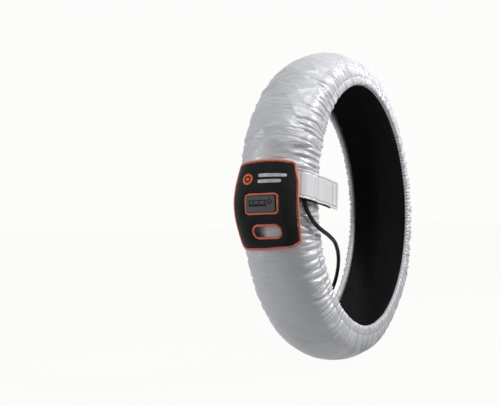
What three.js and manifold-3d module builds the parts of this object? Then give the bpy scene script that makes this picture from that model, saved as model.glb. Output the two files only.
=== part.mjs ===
// Motorcycle tire warmer, front size, in the shape it has when it is fitted and closed.
// Units are millimetres and +Z is up. The ring's axle line is the Y axis, through the origin.
// The closure, the control panel and the power cable's exit are on the front, which faces -X.

import * as THREE from 'three';
import { mergeVertices } from 'three/addons/utils/BufferGeometryUtils.js';
import Module from 'manifold-3d';

const wasm = await Module();
wasm.setup();

// Driving dimensions: the ring and its section
const crownRadius = 310;
const hemDepth = 67;
const halfWidth = 70;
const shoulderDrop = 20;
const crownFlat = 38;
const shoulderRadius = crownRadius - shoulderDrop;
const hemRadius = crownRadius - hemDepth;

// Driving dimensions: the cloth layers, from outside in
const coverThickness = 1.5;
const insulationThickness = 5;
const wireThickness = 1;
const wireWidth = 3;
const bandThickness = 1.2;
const liningThickness = 1;
const clearance = 0.3;

// Driving dimensions: the gathers and the hems
const foldHeight = 3.4;
const hemRuffle = 0.7;
const elasticWidth = 4;
const elasticHeight = 5;
const hemLipRise = 2;

// Driving dimensions: the closure, which crosses the tread at the angle of the join
const joinAngle = THREE.MathUtils.degToRad(7.3);
const joinGap = 0.6;
const strapHeight = 50;
const strapThickness = 1.2;
const hookThickness = 1.2;
const hookOverhang = 1.5;
const loopThickness = 1;
const strapFreeLength = 36;
const strapFreeStand = 23.5;
const strapSag = 12;

// Driving dimensions: the padded panel
const panelLeft = -54;
const panelRight = 60;
const panelTop = 77;
const panelBottom = -77;
const panelThickness = 7;
const panelCorner = 15;
const panelTopCorner = 3;
const panelLift = 20;
const panelTopLift = 12.4;
const panelBottomLift = 11;
const pipingRadius = 2;

// How far the panel's left and right edges drop: at the window, then at the two ends
const panelLeftWrap = [11, 23];
const panelRightWrap = [18, 13, 9];

// Driving dimensions: the window, the hand hole and the controller
const windowCentre = [3, 3];
const windowWidth = 66;
const windowHeight = 38;
const windowCorner = 8;
const handHoleCentre = [8, -45];
const handHoleWidth = 58;
const handHoleHeight = 27;
const windowMargins = [11, 10];
const faceWidth = windowWidth - windowMargins[0];
const faceHeight = windowHeight - windowMargins[1];
const faceProud = 1.6;
const bodyMargin = 2.6;
const shellWall = 1.2;
const buttonRadius = 4.2;
const buttonTravel = 0.8;
const buttonPlace = [18, 4];
const lampRadius = 1.4;
const lampPlaces = [[-13.6, 2.6], [-2.6, 2.6], [8.4, 2.6]];
const lensCentre = [-5.3, 1.4];
const lensWidth = 34;
const lensHeight = 11;
const screwRadius = 0.9;

// Driving dimensions: the power cable and its plug
const cableRadius = 3.75;
const bootLength = 24;
const bootSeat = 5.6;
const coilTurns = 2;
const coilLayers = 2;
const coilMidRadius = 41.25;
const plugLength = 40;
const plugWidth = 36;
const plugThickness = 17;
const pinRadius = 2.4;
const pinLength = 19;
const pinSpacing = 19;

// Steps round the ring: gathers, tread and inner layers share their stations
const innerSteps = 24;
const treadSteps = 2 * innerSteps;
const foldSteps = 4 * treadSteps;

// Shares of the way from the crown to the hem at which the section has its corners
const treadShares = [0.27, 0.47];
const shoulderShare = 0.6;
const sideShares = [0.74, 0.87];
const liningEndShare = 0.87;

const colours = {
  silver: { color: 0xc9ccd2, roughness: 0.45, metalness: 0.35 },
  black: { color: 0x17171a, roughness: 0.85, metalness: 0 },
  felt: { color: 0xd8d4c8, roughness: 0.95, metalness: 0 },
  band: { color: 0x6b3a2a, roughness: 0.8, metalness: 0 },
  copper: { color: 0xb06a3a, roughness: 0.4, metalness: 0.8 },
  orange: { color: 0xe8674a, roughness: 0.7, metalness: 0 },
  grey: { color: 0x6e6e70, roughness: 0.55, metalness: 0 },
  dark: { color: 0x101012, roughness: 0.35, metalness: 0 },
  green: { color: 0x2f6b3f, roughness: 0.6, metalness: 0 },
  rubber: { color: 0x121212, roughness: 0.6, metalness: 0 },
  steel: { color: 0xb9bcc0, roughness: 0.35, metalness: 0.9 },
  elastic: { color: 0xe6e6e6, roughness: 0.9, metalness: 0 },
};

const model = new THREE.Group();

function addMesh(parent, name, geometry, finish) {
  const mesh = new THREE.Mesh(geometry, new THREE.MeshStandardMaterial(colours[finish]));
  mesh.name = name;
  parent.add(mesh);
  return mesh;
}

// A repeatable number from 0 to 1 that differs from fold to fold
function jitter(index) {
  const value = Math.sin(index * 12.9898 + 4.1) * 43758.5453;
  return value - Math.floor(value);
}

// Solids from three.js geometry and back, for cuts and joins
function solidOf(geometry) {
  const bare = geometry.clone();
  bare.deleteAttribute('normal');
  bare.deleteAttribute('uv');
  const merged = mergeVertices(bare, 1e-5);
  return new wasm.Manifold(new wasm.Mesh({
    numProp: 3,
    vertProperties: Float32Array.from(merged.attributes.position.array),
    triVerts: Uint32Array.from(merged.index.array),
  }));
}

function geometryOf(solid) {
  const mesh = solid.getMesh();
  const geometry = new THREE.BufferGeometry();
  geometry.setAttribute('position', new THREE.BufferAttribute(Float32Array.from(mesh.vertProperties), 3));
  geometry.setIndex(Array.from(mesh.triVerts));
  return geometry;
}

function join(geometries) {
  return geometryOf(geometries.map(solidOf).reduce((sum, solid) => sum.add(solid)));
}

function cut(geometry, tools) {
  return geometryOf(tools.map(solidOf).reduce((rest, tool) => rest.subtract(tool), solidOf(geometry)));
}

// Faces of a flat end, wound in the order of its outline
function endFaces(outline) {
  const turn = Math.sign(THREE.ShapeUtils.area(outline));
  return THREE.ShapeUtils.triangulateShape(outline, []).map(([a, b, c]) => {
    const area = THREE.ShapeUtils.area([outline[a], outline[b], outline[c]]);
    return Math.sign(area) === turn ? [a, b, c] : [a, c, b];
  });
}

function signedVolume(points, faces) {
  return faces.reduce((sum, [a, b, c]) => sum + points[a].dot(points[b].clone().cross(points[c])), 0);
}

// A skin over rows of points that follow each other round a section. Rows may differ in their
// number of steps. An open loft has flat ends, and a closed one returns to its start.
function loft(rows, closed, ends = []) {
  const points = rows.flat();
  const starts = rows.map((row, k) => rows.slice(0, k).reduce((sum, r) => sum + r.length, 0));
  const faces = [];
  rows.forEach((row, k) => {
    const next = (k + 1) % rows.length;
    const countA = closed ? row.length : row.length - 1;
    const countB = closed ? rows[next].length : rows[next].length - 1;
    const a = (i) => starts[k] + (i % row.length);
    const b = (j) => starts[next] + (j % rows[next].length);
    let i = 0;
    let j = 0;
    while (i < countA || j < countB) {
      const stepA = i < countA && (j >= countB || (i + 1) * countB <= (j + 1) * countA);
      if (stepA) {
        faces.push([a(i), a(i + 1), b(j)]);
        i += 1;
      } else {
        faces.push([a(i), b(j + 1), b(j)]);
        j += 1;
      }
    }
  });
  if (!closed) {
    const last = rows.map((row, k) => starts[k] + row.length - 1);
    ends.forEach(([a, b, c]) => {
      faces.push([starts[a], starts[b], starts[c]]);
      faces.push([last[a], last[c], last[b]]);
    });
  }
  if (signedVolume(points, faces) < 0) {
    faces.forEach((face) => face.reverse());
  }
  const geometry = new THREE.BufferGeometry();
  geometry.setFromPoints(points);
  geometry.setIndex(faces.flat());
  return geometry;
}

// The ring's section: from the crown (share 0) over the shoulder to the hem (share 1).
// A negative share is the -Y side. Depth is measured inward from the cover's outer face.
const sectionCurve = new THREE.CubicBezierCurve(
  new THREE.Vector2(crownRadius, 0),
  new THREE.Vector2(crownRadius, crownFlat),
  new THREE.Vector2(shoulderRadius, halfWidth),
  new THREE.Vector2(hemRadius, halfWidth),
);

function section(share, depth = 0) {
  const side = share < 0 ? -1 : 1;
  const point = sectionCurve.getPoint(Math.abs(share));
  const along = sectionCurve.getTangent(Math.abs(share));
  return new THREE.Vector2(point.x - along.y * depth, side * (point.y + along.x * depth));
}

// A point of the ring, at an angle that starts at the front and rises over the top
function ringPoint(angle, radius, y) {
  return new THREE.Vector3(-radius * Math.cos(angle), y, radius * Math.sin(angle));
}

// The layers are strips whose two ends meet at the join
function stationAngle(step, steps) {
  const slit = joinGap / 2 / crownRadius;
  const turn = (2 * Math.PI * step) / steps;
  return joinAngle + Math.min(Math.max(turn, slit), 2 * Math.PI - slit);
}

function ringRow(point, steps) {
  return Array.from({ length: steps + 1 }, (_, k) => ringPoint(stationAngle(k, steps), point.x, point.y));
}

function ringStrip(outline, steps) {
  return loft(outline.map((point) => ringRow(point, steps)), false, endFaces(outline));
}

// The gathers: each fold has its own height and its own start on the shoulder, and they
// lie flat where the closure strap presses on them
function foldRow(share, steps) {
  const side = Math.sign(share);
  const reach = Math.abs(share);
  const flatHalf = (strapHeight / 2 + 6) / shoulderRadius;
  return Array.from({ length: steps + 1 }, (_, k) => {
    const angle = stationAngle(k, steps);
    const fold = Math.floor(k / 2) + (side < 0 ? 500 : 0);
    const fromJoin = Math.min(angle - joinAngle, 2 * Math.PI - (angle - joinAngle));
    const pressed = side < 0 ? THREE.MathUtils.smoothstep(fromJoin, flatHalf, flatHalf * 1.4) : 1;
    const start = 0.5 + 0.2 * jitter(fold);
    const grown = THREE.MathUtils.smoothstep(reach, start, 0.88);
    const height = foldHeight * (0.5 + 0.5 * jitter(fold + 90)) * grown * pressed;
    const ridge = k % 2 === 1 && k < steps;
    const atHem = reach === 1;
    const rise = ridge ? height * (atHem ? 0.35 : 1) : 0;
    const point = section(share, -rise);
    const scallop = atHem && ridge ? hemRuffle * (0.5 + 0.5 * jitter(fold + 7)) : 0;
    const lean = ridge ? ((jitter(fold + 33) - 0.5) * Math.PI) / steps : 0;
    return ringPoint(angle + lean, point.x - scallop, point.y);
  });
}

// The hem is turned in to a channel that holds the elastic. Its corners stand further out than
// the hem, by the sag of the inner layers' facets.
const wallInner = halfWidth - coverThickness;
const facetSag = Math.cos(Math.PI / innerSteps);
const hemUnderside = hemRadius / facetSag;
const channelFloor = (hemRadius + coverThickness) / facetSag;
const elasticFloor = channelFloor + clearance;
const elasticTop = elasticFloor + elasticHeight;
const lipTop = elasticTop + hemLipRise;
const wallTop = section(sideShares[1], coverThickness);
const wallLean = ((wallInner - wallTop.y) * (elasticTop - channelFloor)) / (wallTop.x - channelFloor);
const elasticOuter = wallInner - wallLean - clearance;
const lipOuter = elasticOuter - elasticWidth - clearance;
const lipInner = lipOuter - coverThickness;

function hemRows(side) {
  const corners = [
    [hemUnderside, lipInner],
    [lipTop, lipInner],
    [lipTop, lipOuter],
    [channelFloor, lipOuter],
    [channelFloor, wallInner],
  ];
  return corners.map(([radius, y]) => ringRow(new THREE.Vector2(radius, side * y), innerSteps));
}

// The cover is kept as a tread and two sides, which meet at the shoulders
const shareLength = section(shoulderShare).distanceTo(section(shoulderShare + 0.01)) / 0.01;
const sideStart = shoulderShare + clearance / shareLength;

function coverPart(rows) {
  const outline = rows.map((row) => new THREE.Vector2(Math.hypot(row[0].x, row[0].z), row[0].y));
  return loft(rows, false, endFaces(outline));
}

function innerRow(share) {
  return ringRow(section(share, coverThickness), innerSteps);
}

function makeCoverTread() {
  const half = [...treadShares.toReversed().map((share) => -share), 0, ...treadShares];
  return coverPart([
    foldRow(-shoulderShare, foldSteps),
    ...half.map((share) => ringRow(section(share), treadSteps)),
    foldRow(shoulderShare, foldSteps),
    ...[shoulderShare, ...half.toReversed(), -shoulderShare].map(innerRow),
  ]);
}

// The far side's rows run the other way round, so that its edge has the same facets as the tread's
function makeCoverSide(side) {
  const rows = [
    ...[sideStart, ...sideShares, 1].map((share) => foldRow(side * share, foldSteps)),
    ...hemRows(side),
    innerRow(side * sideShares[1]),
    innerRow(side * sideStart),
  ];
  return coverPart(side > 0 ? rows.toReversed() : rows);
}

// Inner layers: each lies one clearance under the last
const insulationDepth = coverThickness + clearance;
const wireDepth = insulationDepth + insulationThickness + clearance;
const bandDepth = wireDepth + wireThickness + clearance;
const liningDepth = bandDepth + bandThickness + clearance;

function layerOutline(outer, inner) {
  const mirrored = (list) => [...list.toReversed().map(([s, d]) => [-s, d]), ...list.slice(1)];
  const points = (list) => mirrored(list).map(([share, depth]) => section(share, depth));
  return [...points(outer), ...points(inner).toReversed()];
}

function flatLayer(depth, thickness) {
  const shares = [0, ...treadShares, shoulderShare];
  const outline = layerOutline(
    shares.map((share) => [share, depth]),
    shares.map((share) => [share, depth + thickness]),
  );
  return ringStrip(outline, innerSteps);
}

function makeLining() {
  const tread = [0, ...treadShares, shoulderShare];
  const skirt = [liningEndShare, insulationDepth];
  const outer = [...tread.map((share) => [share, liningDepth]), skirt];
  const inner = [
    ...tread.map((share) => [share, liningDepth + liningThickness]),
    [liningEndShare, insulationDepth + liningThickness],
  ];
  return ringStrip(layerOutline(outer, inner), innerSteps);
}

// The heating wire crosses the band at every second station, in one serpentine
function makeWire() {
  const crossing = [-treadShares[1], -treadShares[0], 0, treadShares[0], treadShares[1]];
  const points = [];
  const outward = [];
  const add = (step, share) => {
    const angle = stationAngle(step, innerSteps);
    const low = section(share, wireDepth + wireThickness / 2);
    const high = section(share, 0);
    points.push(ringPoint(angle, low.x, low.y));
    outward.push(ringPoint(angle, high.x, high.y).sub(points.at(-1)).normalize());
  };
  for (let step = 1; step < innerSteps; step += 2) {
    const shares = step % 4 === 1 ? crossing : crossing.toReversed();
    shares.forEach((share) => add(step, share));
    if (step + 2 < innerSteps) {
      add(step + 1, shares.at(-1));
    }
  }
  return sweep(points, outward, wireWidth, wireThickness);
}

// A flat strip along a path: the width lies across the path and the thickness along its normals
function sweep(points, normals, width, thickness) {
  const corners = [[-0.5, -0.5], [0.5, -0.5], [0.5, 0.5], [-0.5, 0.5]];
  const rows = corners.map(([across, up]) => points.map((point, k) => {
    const before = points[Math.max(k - 1, 0)];
    const after = points[Math.min(k + 1, points.length - 1)];
    const along = after.clone().sub(before).normalize();
    const side = along.clone().cross(normals[k]).normalize();
    const top = side.clone().cross(along).normalize();
    return point.clone().addScaledVector(side, across * width).addScaledVector(top, up * thickness);
  }));
  return loft(rows, false, endFaces(corners.map(([x, y]) => new THREE.Vector2(x, y))));
}

// The thermal cut-out fills a hole in the insulation
const cutoutSize = [3.4, 12, 24];
const cutoutStep = 2.5;

function cutoutBox(margin) {
  const radius = (crownRadius - wireDepth) * Math.cos(Math.PI / innerSteps) + clearance + cutoutSize[0] / 2;
  const angle = joinAngle + (2 * Math.PI * cutoutStep) / innerSteps;
  const box = new THREE.BoxGeometry(
    cutoutSize[0] + 20 * margin,
    cutoutSize[1] + 2 * margin,
    cutoutSize[2] + 2 * margin,
  );
  box.rotateY(angle);
  const place = ringPoint(angle, radius, 0);
  return box.translate(place.x, place.y, place.z);
}

addMesh(model, 'outer_cover', makeCoverTread(), 'silver');
addMesh(model, 'cover_side_near', makeCoverSide(-1), 'silver');
addMesh(model, 'cover_side_far', makeCoverSide(1), 'silver');
const padGeometry = cut(flatLayer(insulationDepth, insulationThickness), [cutoutBox(clearance)]);
addMesh(model, 'insulation_pad', padGeometry, 'felt');
addMesh(model, 'heat_cutout', cutoutBox(0), 'dark');
addMesh(model, 'heating_wire', makeWire(), 'copper');
addMesh(model, 'heating_band', flatLayer(bandDepth, bandThickness), 'band');
addMesh(model, 'inner_lining', makeLining(), 'black');

function makeElastic(side) {
  const elasticInner = elasticOuter - elasticWidth;
  const outline = [
    [elasticFloor, elasticOuter],
    [elasticTop, elasticOuter],
    [elasticTop, elasticInner],
    [elasticFloor, elasticInner],
  ].map(([radius, y]) => new THREE.Vector2(radius, side * y));
  return ringStrip(outline, innerSteps);
}

addMesh(model, 'hem_elastic_near', makeElastic(-1), 'elastic');
addMesh(model, 'hem_elastic_far', makeElastic(1), 'elastic');

// The closure lies in its own frame: X points out from the axle, Y is the axle's direction,
// and Z runs down along the tread, with 0 at the join
const closure = new THREE.Group();
closure.applyMatrix4(new THREE.Matrix4().makeBasis(
  new THREE.Vector3(-Math.cos(joinAngle), 0, Math.sin(joinAngle)),
  new THREE.Vector3(0, 1, 0),
  new THREE.Vector3(-Math.sin(joinAngle), 0, -Math.cos(joinAngle)),
));
model.add(closure);

const loopSeat = clearance + loopThickness / 2;
const hookSeat = 2 * clearance + loopThickness + hookThickness / 2;
const strapSeat = 3 * clearance + loopThickness + hookThickness + strapThickness / 2;

// The strap's path: sewn to the cover on the far side, over the crown, off the near shoulder
// where the cable's boot lies under it, and past the hem with its end free. The two lists hold
// shares of the section, each with the strap's rise above the cover or above the two tapes.
const strapOnCover = clearance + strapThickness / 2;
const farRises = [[shoulderShare, 0], [treadShares[1], 0.6], [treadShares[0], 1.6]];
const nearRises = [
  [0, 0], [-0.16, 0.1], [-treadShares[0], 0.3], [-0.38, 1.8], [-treadShares[1], 4.4],
  [-0.58, 8.8], [-0.68, 10], [-0.82, 8.8], [-1, 9],
];
const strapPath = [
  ...farRises.map(([share, rise]) => section(share, -strapOnCover - rise)),
  ...nearRises.map(([share, rise]) => section(share, -strapSeat - rise)),
  new THREE.Vector2(hemRadius - 0.47 * strapFreeLength, -(halfWidth + 0.78 * strapFreeStand)),
  new THREE.Vector2(hemRadius - strapFreeLength, -(halfWidth + strapFreeStand)),
];

// A band of even thickness along a curve, extruded down the tread
function ribbon(curve, from, to, steps, thickness, offset, height, shift) {
  const outer = [];
  const inner = [];
  for (let k = 0; k <= steps; k += 1) {
    const share = from + ((to - from) * k) / steps;
    const point = curve.getPoint(share);
    const along = curve.getTangent(share);
    const away = new THREE.Vector2(-along.y, along.x);
    outer.push(point.clone().addScaledVector(away, offset - thickness / 2));
    inner.push(point.clone().addScaledVector(away, offset + thickness / 2));
  }
  const shape = new THREE.Shape([...outer, ...inner.toReversed()]);
  const geometry = new THREE.ExtrudeGeometry(shape, { depth: height, bevelEnabled: false });
  return geometry.translate(0, 0, shift - height / 2);
}

// The free end sags, so the strap's lower rows drop with the distance past the shoulder
function sagged(geometry) {
  const place = geometry.attributes.position;
  for (let k = 0; k < place.count; k += 1) {
    const past = Math.max(0, -place.getY(k) - halfWidth * 0.8) / (strapFreeStand + halfWidth * 0.2);
    place.setZ(k, place.getZ(k) + strapSag * past * past);
  }
  return geometry;
}

const strapCurve = new THREE.SplineCurve(strapPath);
const strapShape = ribbon(strapCurve, 0, 1, 40, strapThickness, 0, strapHeight, 0);
addMesh(closure, 'closure_strap', sagged(strapShape), 'silver');

const hookShape = ribbon(
  strapCurve, 0.24, 0.93, 26, hookThickness, -(strapSeat - hookSeat), strapHeight - 4, 2 + hookOverhang,
);
addMesh(closure, 'hook_tape', sagged(hookShape), 'black');

const loopPath = [0.02, -0.06, -0.13, -0.2, -treadShares[0], -0.34].map((share) => section(share, -loopSeat));
const loopShape = ribbon(new THREE.SplineCurve(loopPath), 0, 1, 8, loopThickness, 0, strapHeight - 6, 0);
addMesh(closure, 'loop_tape', loopShape, 'black');

// The boot on the cover's side, under the strap, where the cable leaves
const bootShare = 0.67;
const bootPlace = section(-bootShare, -bootSeat);
const bootEnd = 16;

function makeBoot() {
  const profile = [
    [0, 0],
    [cableRadius + 1.1, 0],
    [cableRadius + 1.1, bootLength * 0.4],
    [cableRadius + 0.5, bootLength],
    [0, bootLength],
  ].map(([radius, height]) => new THREE.Vector2(radius, height));
  const cone = new THREE.LatheGeometry(profile, 10);
  cone.rotateX(Math.PI / 2);
  cone.translate(bootPlace.x, bootPlace.y, bootEnd - bootLength);
  const plate = new THREE.BoxGeometry(1.4, 16, bootLength * 0.75);
  const seat = section(-bootShare, -(clearance + 0.9));
  const along = section(-bootShare - 0.01).sub(section(-bootShare + 0.01));
  plate.rotateZ(Math.atan2(along.y, along.x) + Math.PI / 2);
  plate.translate(seat.x, seat.y, bootEnd - bootLength * 0.7);
  return join([cone, plate]);
}

addMesh(closure, 'cable_boot', makeBoot(), 'rubber');

// The panel lies in the frame of someone who faces it: X to the right, Y up, Z towards them
const front = new THREE.Group();
front.applyMatrix4(new THREE.Matrix4().makeBasis(
  new THREE.Vector3(0, -1, 0),
  new THREE.Vector3(0, 0, 1),
  new THREE.Vector3(-1, 0, 0),
));
model.add(front);

const panelMiddle = (panelLeft + panelRight) / 2;
const panelHalf = (panelRight - panelLeft) / 2;

// Height of the panel's outer face: it stands off the tread over the controller and wraps
// the shoulders at its two sides, more tightly where nothing stiff is behind it
function panelFace(x, y) {
  const crown = Math.sqrt(crownRadius ** 2 - y ** 2);
  const above = y - windowCentre[1];
  const foot = above > 0 ? panelTopLift : panelBottomLift;
  const reach = above > 0 ? panelTop - windowCentre[1] : windowCentre[1] - panelBottom;
  const lift = foot + (panelLift - foot) * (0.5 + 0.5 * Math.cos((Math.PI * above) / reach));
  const across = (x - panelMiddle) / panelHalf;
  const share = (above / reach) ** 2;
  const left = panelLeftWrap[0] * (1 - share) + panelLeftWrap[1] * share;
  const rightEnd = above > 0 ? panelRightWrap[1] : panelRightWrap[2];
  const right = panelRightWrap[0] * (1 - share) + rightEnd * share;
  const wrap = (across < 0 ? left : right) * Math.abs(across) ** 4;
  return crown + lift - wrap;
}

// A slab between two depths behind the panel's outer face
function panelSlab(outer, inner, cells, margin) {
  const xs = Array.from({ length: cells + 1 }, (_, k) => {
    const share = (2 * k) / cells - 1;
    const eased = Math.sign(share) * (1 - (1 - Math.abs(share)) ** 1.35);
    return panelMiddle + eased * (panelHalf + margin);
  });
  const height = panelTop - panelBottom + 2 * margin;
  const ys = Array.from({ length: cells + 1 }, (_, k) => panelBottom - margin + (height * k) / cells);
  const rows = [];
  ys.forEach((y) => rows.push(xs.map((x) => new THREE.Vector3(x, y, panelFace(x, y) - outer))));
  ys.toReversed().forEach((y) => rows.push(xs.map((x) => new THREE.Vector3(x, y, panelFace(x, y) - inner))));
  const outline = [
    ...ys.map((y) => new THREE.Vector2(y, panelFace(xs[0], y) - outer)),
    ...ys.toReversed().map((y) => new THREE.Vector2(y, panelFace(xs[0], y) - inner)),
  ];
  return loft(rows, false, endFaces(outline));
}

// A rectangle with four corner radii, as [x, y] corners' arcs
function roundedShape(left, right, bottom, top, lowRadius, highRadius) {
  const shape = new THREE.Shape();
  shape.absarc(right - lowRadius, bottom + lowRadius, lowRadius, -Math.PI / 2, 0);
  shape.absarc(right - highRadius, top - highRadius, highRadius, 0, Math.PI / 2);
  shape.absarc(left + highRadius, top - highRadius, highRadius, Math.PI / 2, Math.PI);
  shape.absarc(left + lowRadius, bottom + lowRadius, lowRadius, Math.PI, 1.5 * Math.PI);
  return shape;
}

function centredShape([x, y], width, height, radius) {
  return roundedShape(x - width / 2, x + width / 2, y - height / 2, y + height / 2, radius, radius);
}

function panelOutline(grow) {
  return roundedShape(
    panelLeft - grow, panelRight + grow, panelBottom - grow, panelTop + grow,
    panelCorner + grow, panelTopCorner + grow,
  );
}

function prism(shape, from, to, curveSegments = 4) {
  const geometry = new THREE.ExtrudeGeometry(shape, { depth: to - from, bevelEnabled: false, curveSegments });
  return geometry.translate(0, 0, from);
}

const handHoleRadius = handHoleHeight / 2 - 0.5;
const farBack = crownRadius - 60;
const farFront = crownRadius + 60;

function makePanel() {
  const outline = panelOutline(0);
  outline.holes.push(centredShape(windowCentre, windowWidth, windowHeight, windowCorner));
  outline.holes.push(centredShape(handHoleCentre, handHoleWidth, handHoleHeight, handHoleRadius));
  const slab = solidOf(panelSlab(0, panelThickness, 8, 2));
  return geometryOf(slab.intersect(solidOf(prism(outline, farBack, farFront))));
}

addMesh(front, 'control_panel', makePanel(), 'black');

// Piping: a round cord sewn along an edge, at the middle of the panel's thickness
function makePiping(shape, curveSegments) {
  const outline = shape.extractPoints(curveSegments).shape;
  const corners = outline.filter((p, k) => p.distanceTo(outline[(k + 1) % outline.length]) > 1e-3);
  const flat = [];
  corners.forEach((corner, k) => {
    const next = corners[(k + 1) % corners.length];
    const pieces = Math.max(1, Math.round(corner.distanceTo(next) / 28));
    for (let step = 0; step < pieces; step += 1) {
      flat.push(corner.clone().lerp(next, step / pieces));
    }
  });
  const path = flat.map((p) => new THREE.Vector3(p.x, p.y, panelFace(p.x, p.y) - panelThickness / 2));
  const sides = 5;
  const rows = Array.from({ length: sides }, (_, side) => path.map((point, k) => {
    const before = path[(k + path.length - 1) % path.length];
    const after = path[(k + 1) % path.length];
    const along = after.clone().sub(before).normalize();
    const across = new THREE.Vector3(along.y, -along.x, 0).normalize();
    const turn = (2 * Math.PI * side) / sides;
    const up = across.clone().cross(along).normalize();
    return point.clone()
      .addScaledVector(across, pipingRadius * Math.cos(turn))
      .addScaledVector(up, pipingRadius * Math.sin(turn));
  }));
  return loft(rows, true);
}

const pipingGap = pipingRadius + clearance;
addMesh(front, 'panel_piping', makePiping(panelOutline(pipingGap), 3), 'orange');

function holePiping(centre, width, height, radius) {
  const inner = centredShape(centre, width - 2 * pipingGap, height - 2 * pipingGap, radius - pipingGap);
  return makePiping(inner, 2);
}

addMesh(front, 'window_piping', holePiping(windowCentre, windowWidth, windowHeight, windowCorner), 'orange');
addMesh(
  front, 'hand_hole_piping',
  holePiping(handHoleCentre, handHoleWidth, handHoleHeight, handHoleRadius), 'orange',
);

// The controller, in the panel's frame moved to the window's centre
const controller = new THREE.Group();
controller.position.set(windowCentre[0] - 1.5, windowCentre[1], 0);
front.add(controller);

const bodyWidth = faceWidth + 2 * bodyMargin;
const bodyHeight = faceHeight + 2 * bodyMargin;
const pocketDepth = 1;
const strapTopRadius = Math.hypot(crownRadius + strapSeat + strapThickness / 2, strapHeight / 2);
const pocketBack = strapTopRadius + clearance;
const controllerBack = pocketBack + pocketDepth + clearance;
const facePlane = crownRadius + panelLift - faceProud;
const faceOverCorner = panelFace(bodyWidth / 2 + 1, windowCentre[1] + bodyHeight / 2);
const shoulderPlane = faceOverCorner - panelThickness - clearance;
const splitPlane = controllerBack + shellWall;
const boardBack = shoulderPlane + clearance;
const boardThickness = 1.4;

// The pocket of cloth behind the window, open to the front
function makePocket() {
  const outer = centredShape([0, 0], bodyWidth + 4, bodyHeight + 4, 3);
  const inner = centredShape([0, 0], bodyWidth + 2 * clearance, bodyHeight + 2 * clearance, 2);
  const tray = solidOf(prism(outer, pocketBack, facePlane, 2))
    .subtract(solidOf(prism(inner, pocketBack + pocketDepth, facePlane + 1, 2)));
  const behind = panelSlab(panelThickness + clearance, panelThickness + 40, 8, 4);
  behind.translate(-controller.position.x, -controller.position.y, 0);
  return geometryOf(tray.intersect(solidOf(behind)));
}

addMesh(controller, 'controller_pocket', makePocket(), 'black');

const bossRadius = 2.2;
const screwHole = screwRadius + 0.2;
const screwPlaces = [-1, 1].flatMap((x) => [-1, 1].map((y) => [
  x * (faceWidth / 2 - shellWall - bossRadius - 0.4),
  y * (faceHeight / 2 - shellWall - bossRadius - 0.4),
]));

function post([x, y], radius, from, to, sides = 6) {
  const cylinder = new THREE.CylinderGeometry(radius, radius, to - from, sides);
  cylinder.rotateX(Math.PI / 2);
  return cylinder.translate(x, y, (from + to) / 2);
}

function makeFrontShell() {
  const face = centredShape([0, 0], faceWidth, faceHeight, 3);
  const collar = centredShape([0, 0], bodyWidth, bodyHeight, 4);
  const inside = centredShape([0, 0], faceWidth - 2 * shellWall, faceHeight - 2 * shellWall, 2);
  const block = join([
    prism(collar, splitPlane + clearance, shoulderPlane, 2),
    prism(face, splitPlane + clearance, facePlane, 2),
  ]);
  const hollow = prism(inside, splitPlane, facePlane - shellWall, 2);
  const shell = cut(block, [hollow]);
  const bossFoot = boardBack + boardThickness + clearance;
  const bosses = screwPlaces.map((place) => post(place, bossRadius, bossFoot, facePlane - 0.5));
  const holes = screwPlaces.map((place) => post(place, screwHole, boardBack, facePlane - 2.2));
  const slot = prism(centredShape(lensCentre, lensWidth, lensHeight, 1), facePlane - 4, facePlane + 1, 1);
  const bore = post(buttonPlace, buttonRadius + clearance, facePlane - 4, facePlane + 1, 12);
  return cut(join([shell, ...bosses]), [...holes, slot, bore]);
}

function makeBackShell() {
  const plate = prism(centredShape([0, 0], bodyWidth, bodyHeight, 4), controllerBack, splitPlane, 2);
  const posts = screwPlaces.map((place) => post(place, bossRadius, splitPlane - 0.2, boardBack - clearance));
  const holes = screwPlaces.map((place) => post(place, screwHole, controllerBack - 1, boardBack + 1));
  return cut(join([plate, ...posts]), holes);
}

function makeBoard() {
  const outline = centredShape([0, 0], faceWidth - 2 * shellWall - 0.8, faceHeight - 2 * shellWall - 0.8, 1);
  const board = prism(outline, boardBack, boardBack + boardThickness, 1);
  const top = boardBack + boardThickness;
  const contact = new THREE.BoxGeometry(6, 6, buttonContact - top + 0.2);
  contact.translate(buttonPlace[0], buttonPlace[1], (buttonContact + top - 0.2) / 2);
  const holes = screwPlaces.map((place) => post(place, screwHole, boardBack - 1, top + 1));
  return cut(join([board, contact]), holes);
}

const buttonTop = facePlane + 1;
const buttonFlange = facePlane - shellWall - clearance;
const buttonBottom = buttonFlange - 1;
const buttonContact = buttonBottom - buttonTravel - clearance;

function makeButton() {
  const profile = [
    [0, buttonBottom],
    [buttonRadius + 0.9, buttonBottom],
    [buttonRadius + 0.9, buttonFlange],
    [buttonRadius, buttonFlange],
    [buttonRadius, buttonTop - 0.4],
    [buttonRadius - 0.4, buttonTop],
    [buttonRadius - 1.2, buttonTop],
    [buttonRadius - 1.6, buttonTop - 0.5],
    [0, buttonTop - 0.5],
  ].map(([radius, height]) => new THREE.Vector2(radius, height));
  const button = new THREE.LatheGeometry(profile, 12);
  button.rotateX(Math.PI / 2);
  return button.translate(buttonPlace[0], buttonPlace[1], 0);
}

function makeLens() {
  const recess = 0.8;
  const gap = 2 * clearance;
  const window = prism(
    centredShape(lensCentre, lensWidth - gap, lensHeight - gap, 0.8), facePlane - 2.4, facePlane - recess, 1,
  );
  const flange = prism(
    centredShape(lensCentre, lensWidth + 2, lensHeight + 2, 0.8),
    facePlane - shellWall - 1.3, facePlane - shellWall - clearance, 1,
  );
  const lampHole = lampRadius + clearance;
  const holes = lampPlaces.map((place) => post(place, lampHole, facePlane - 4, facePlane + 1, 8));
  return cut(join([window, flange]), holes);
}

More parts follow.
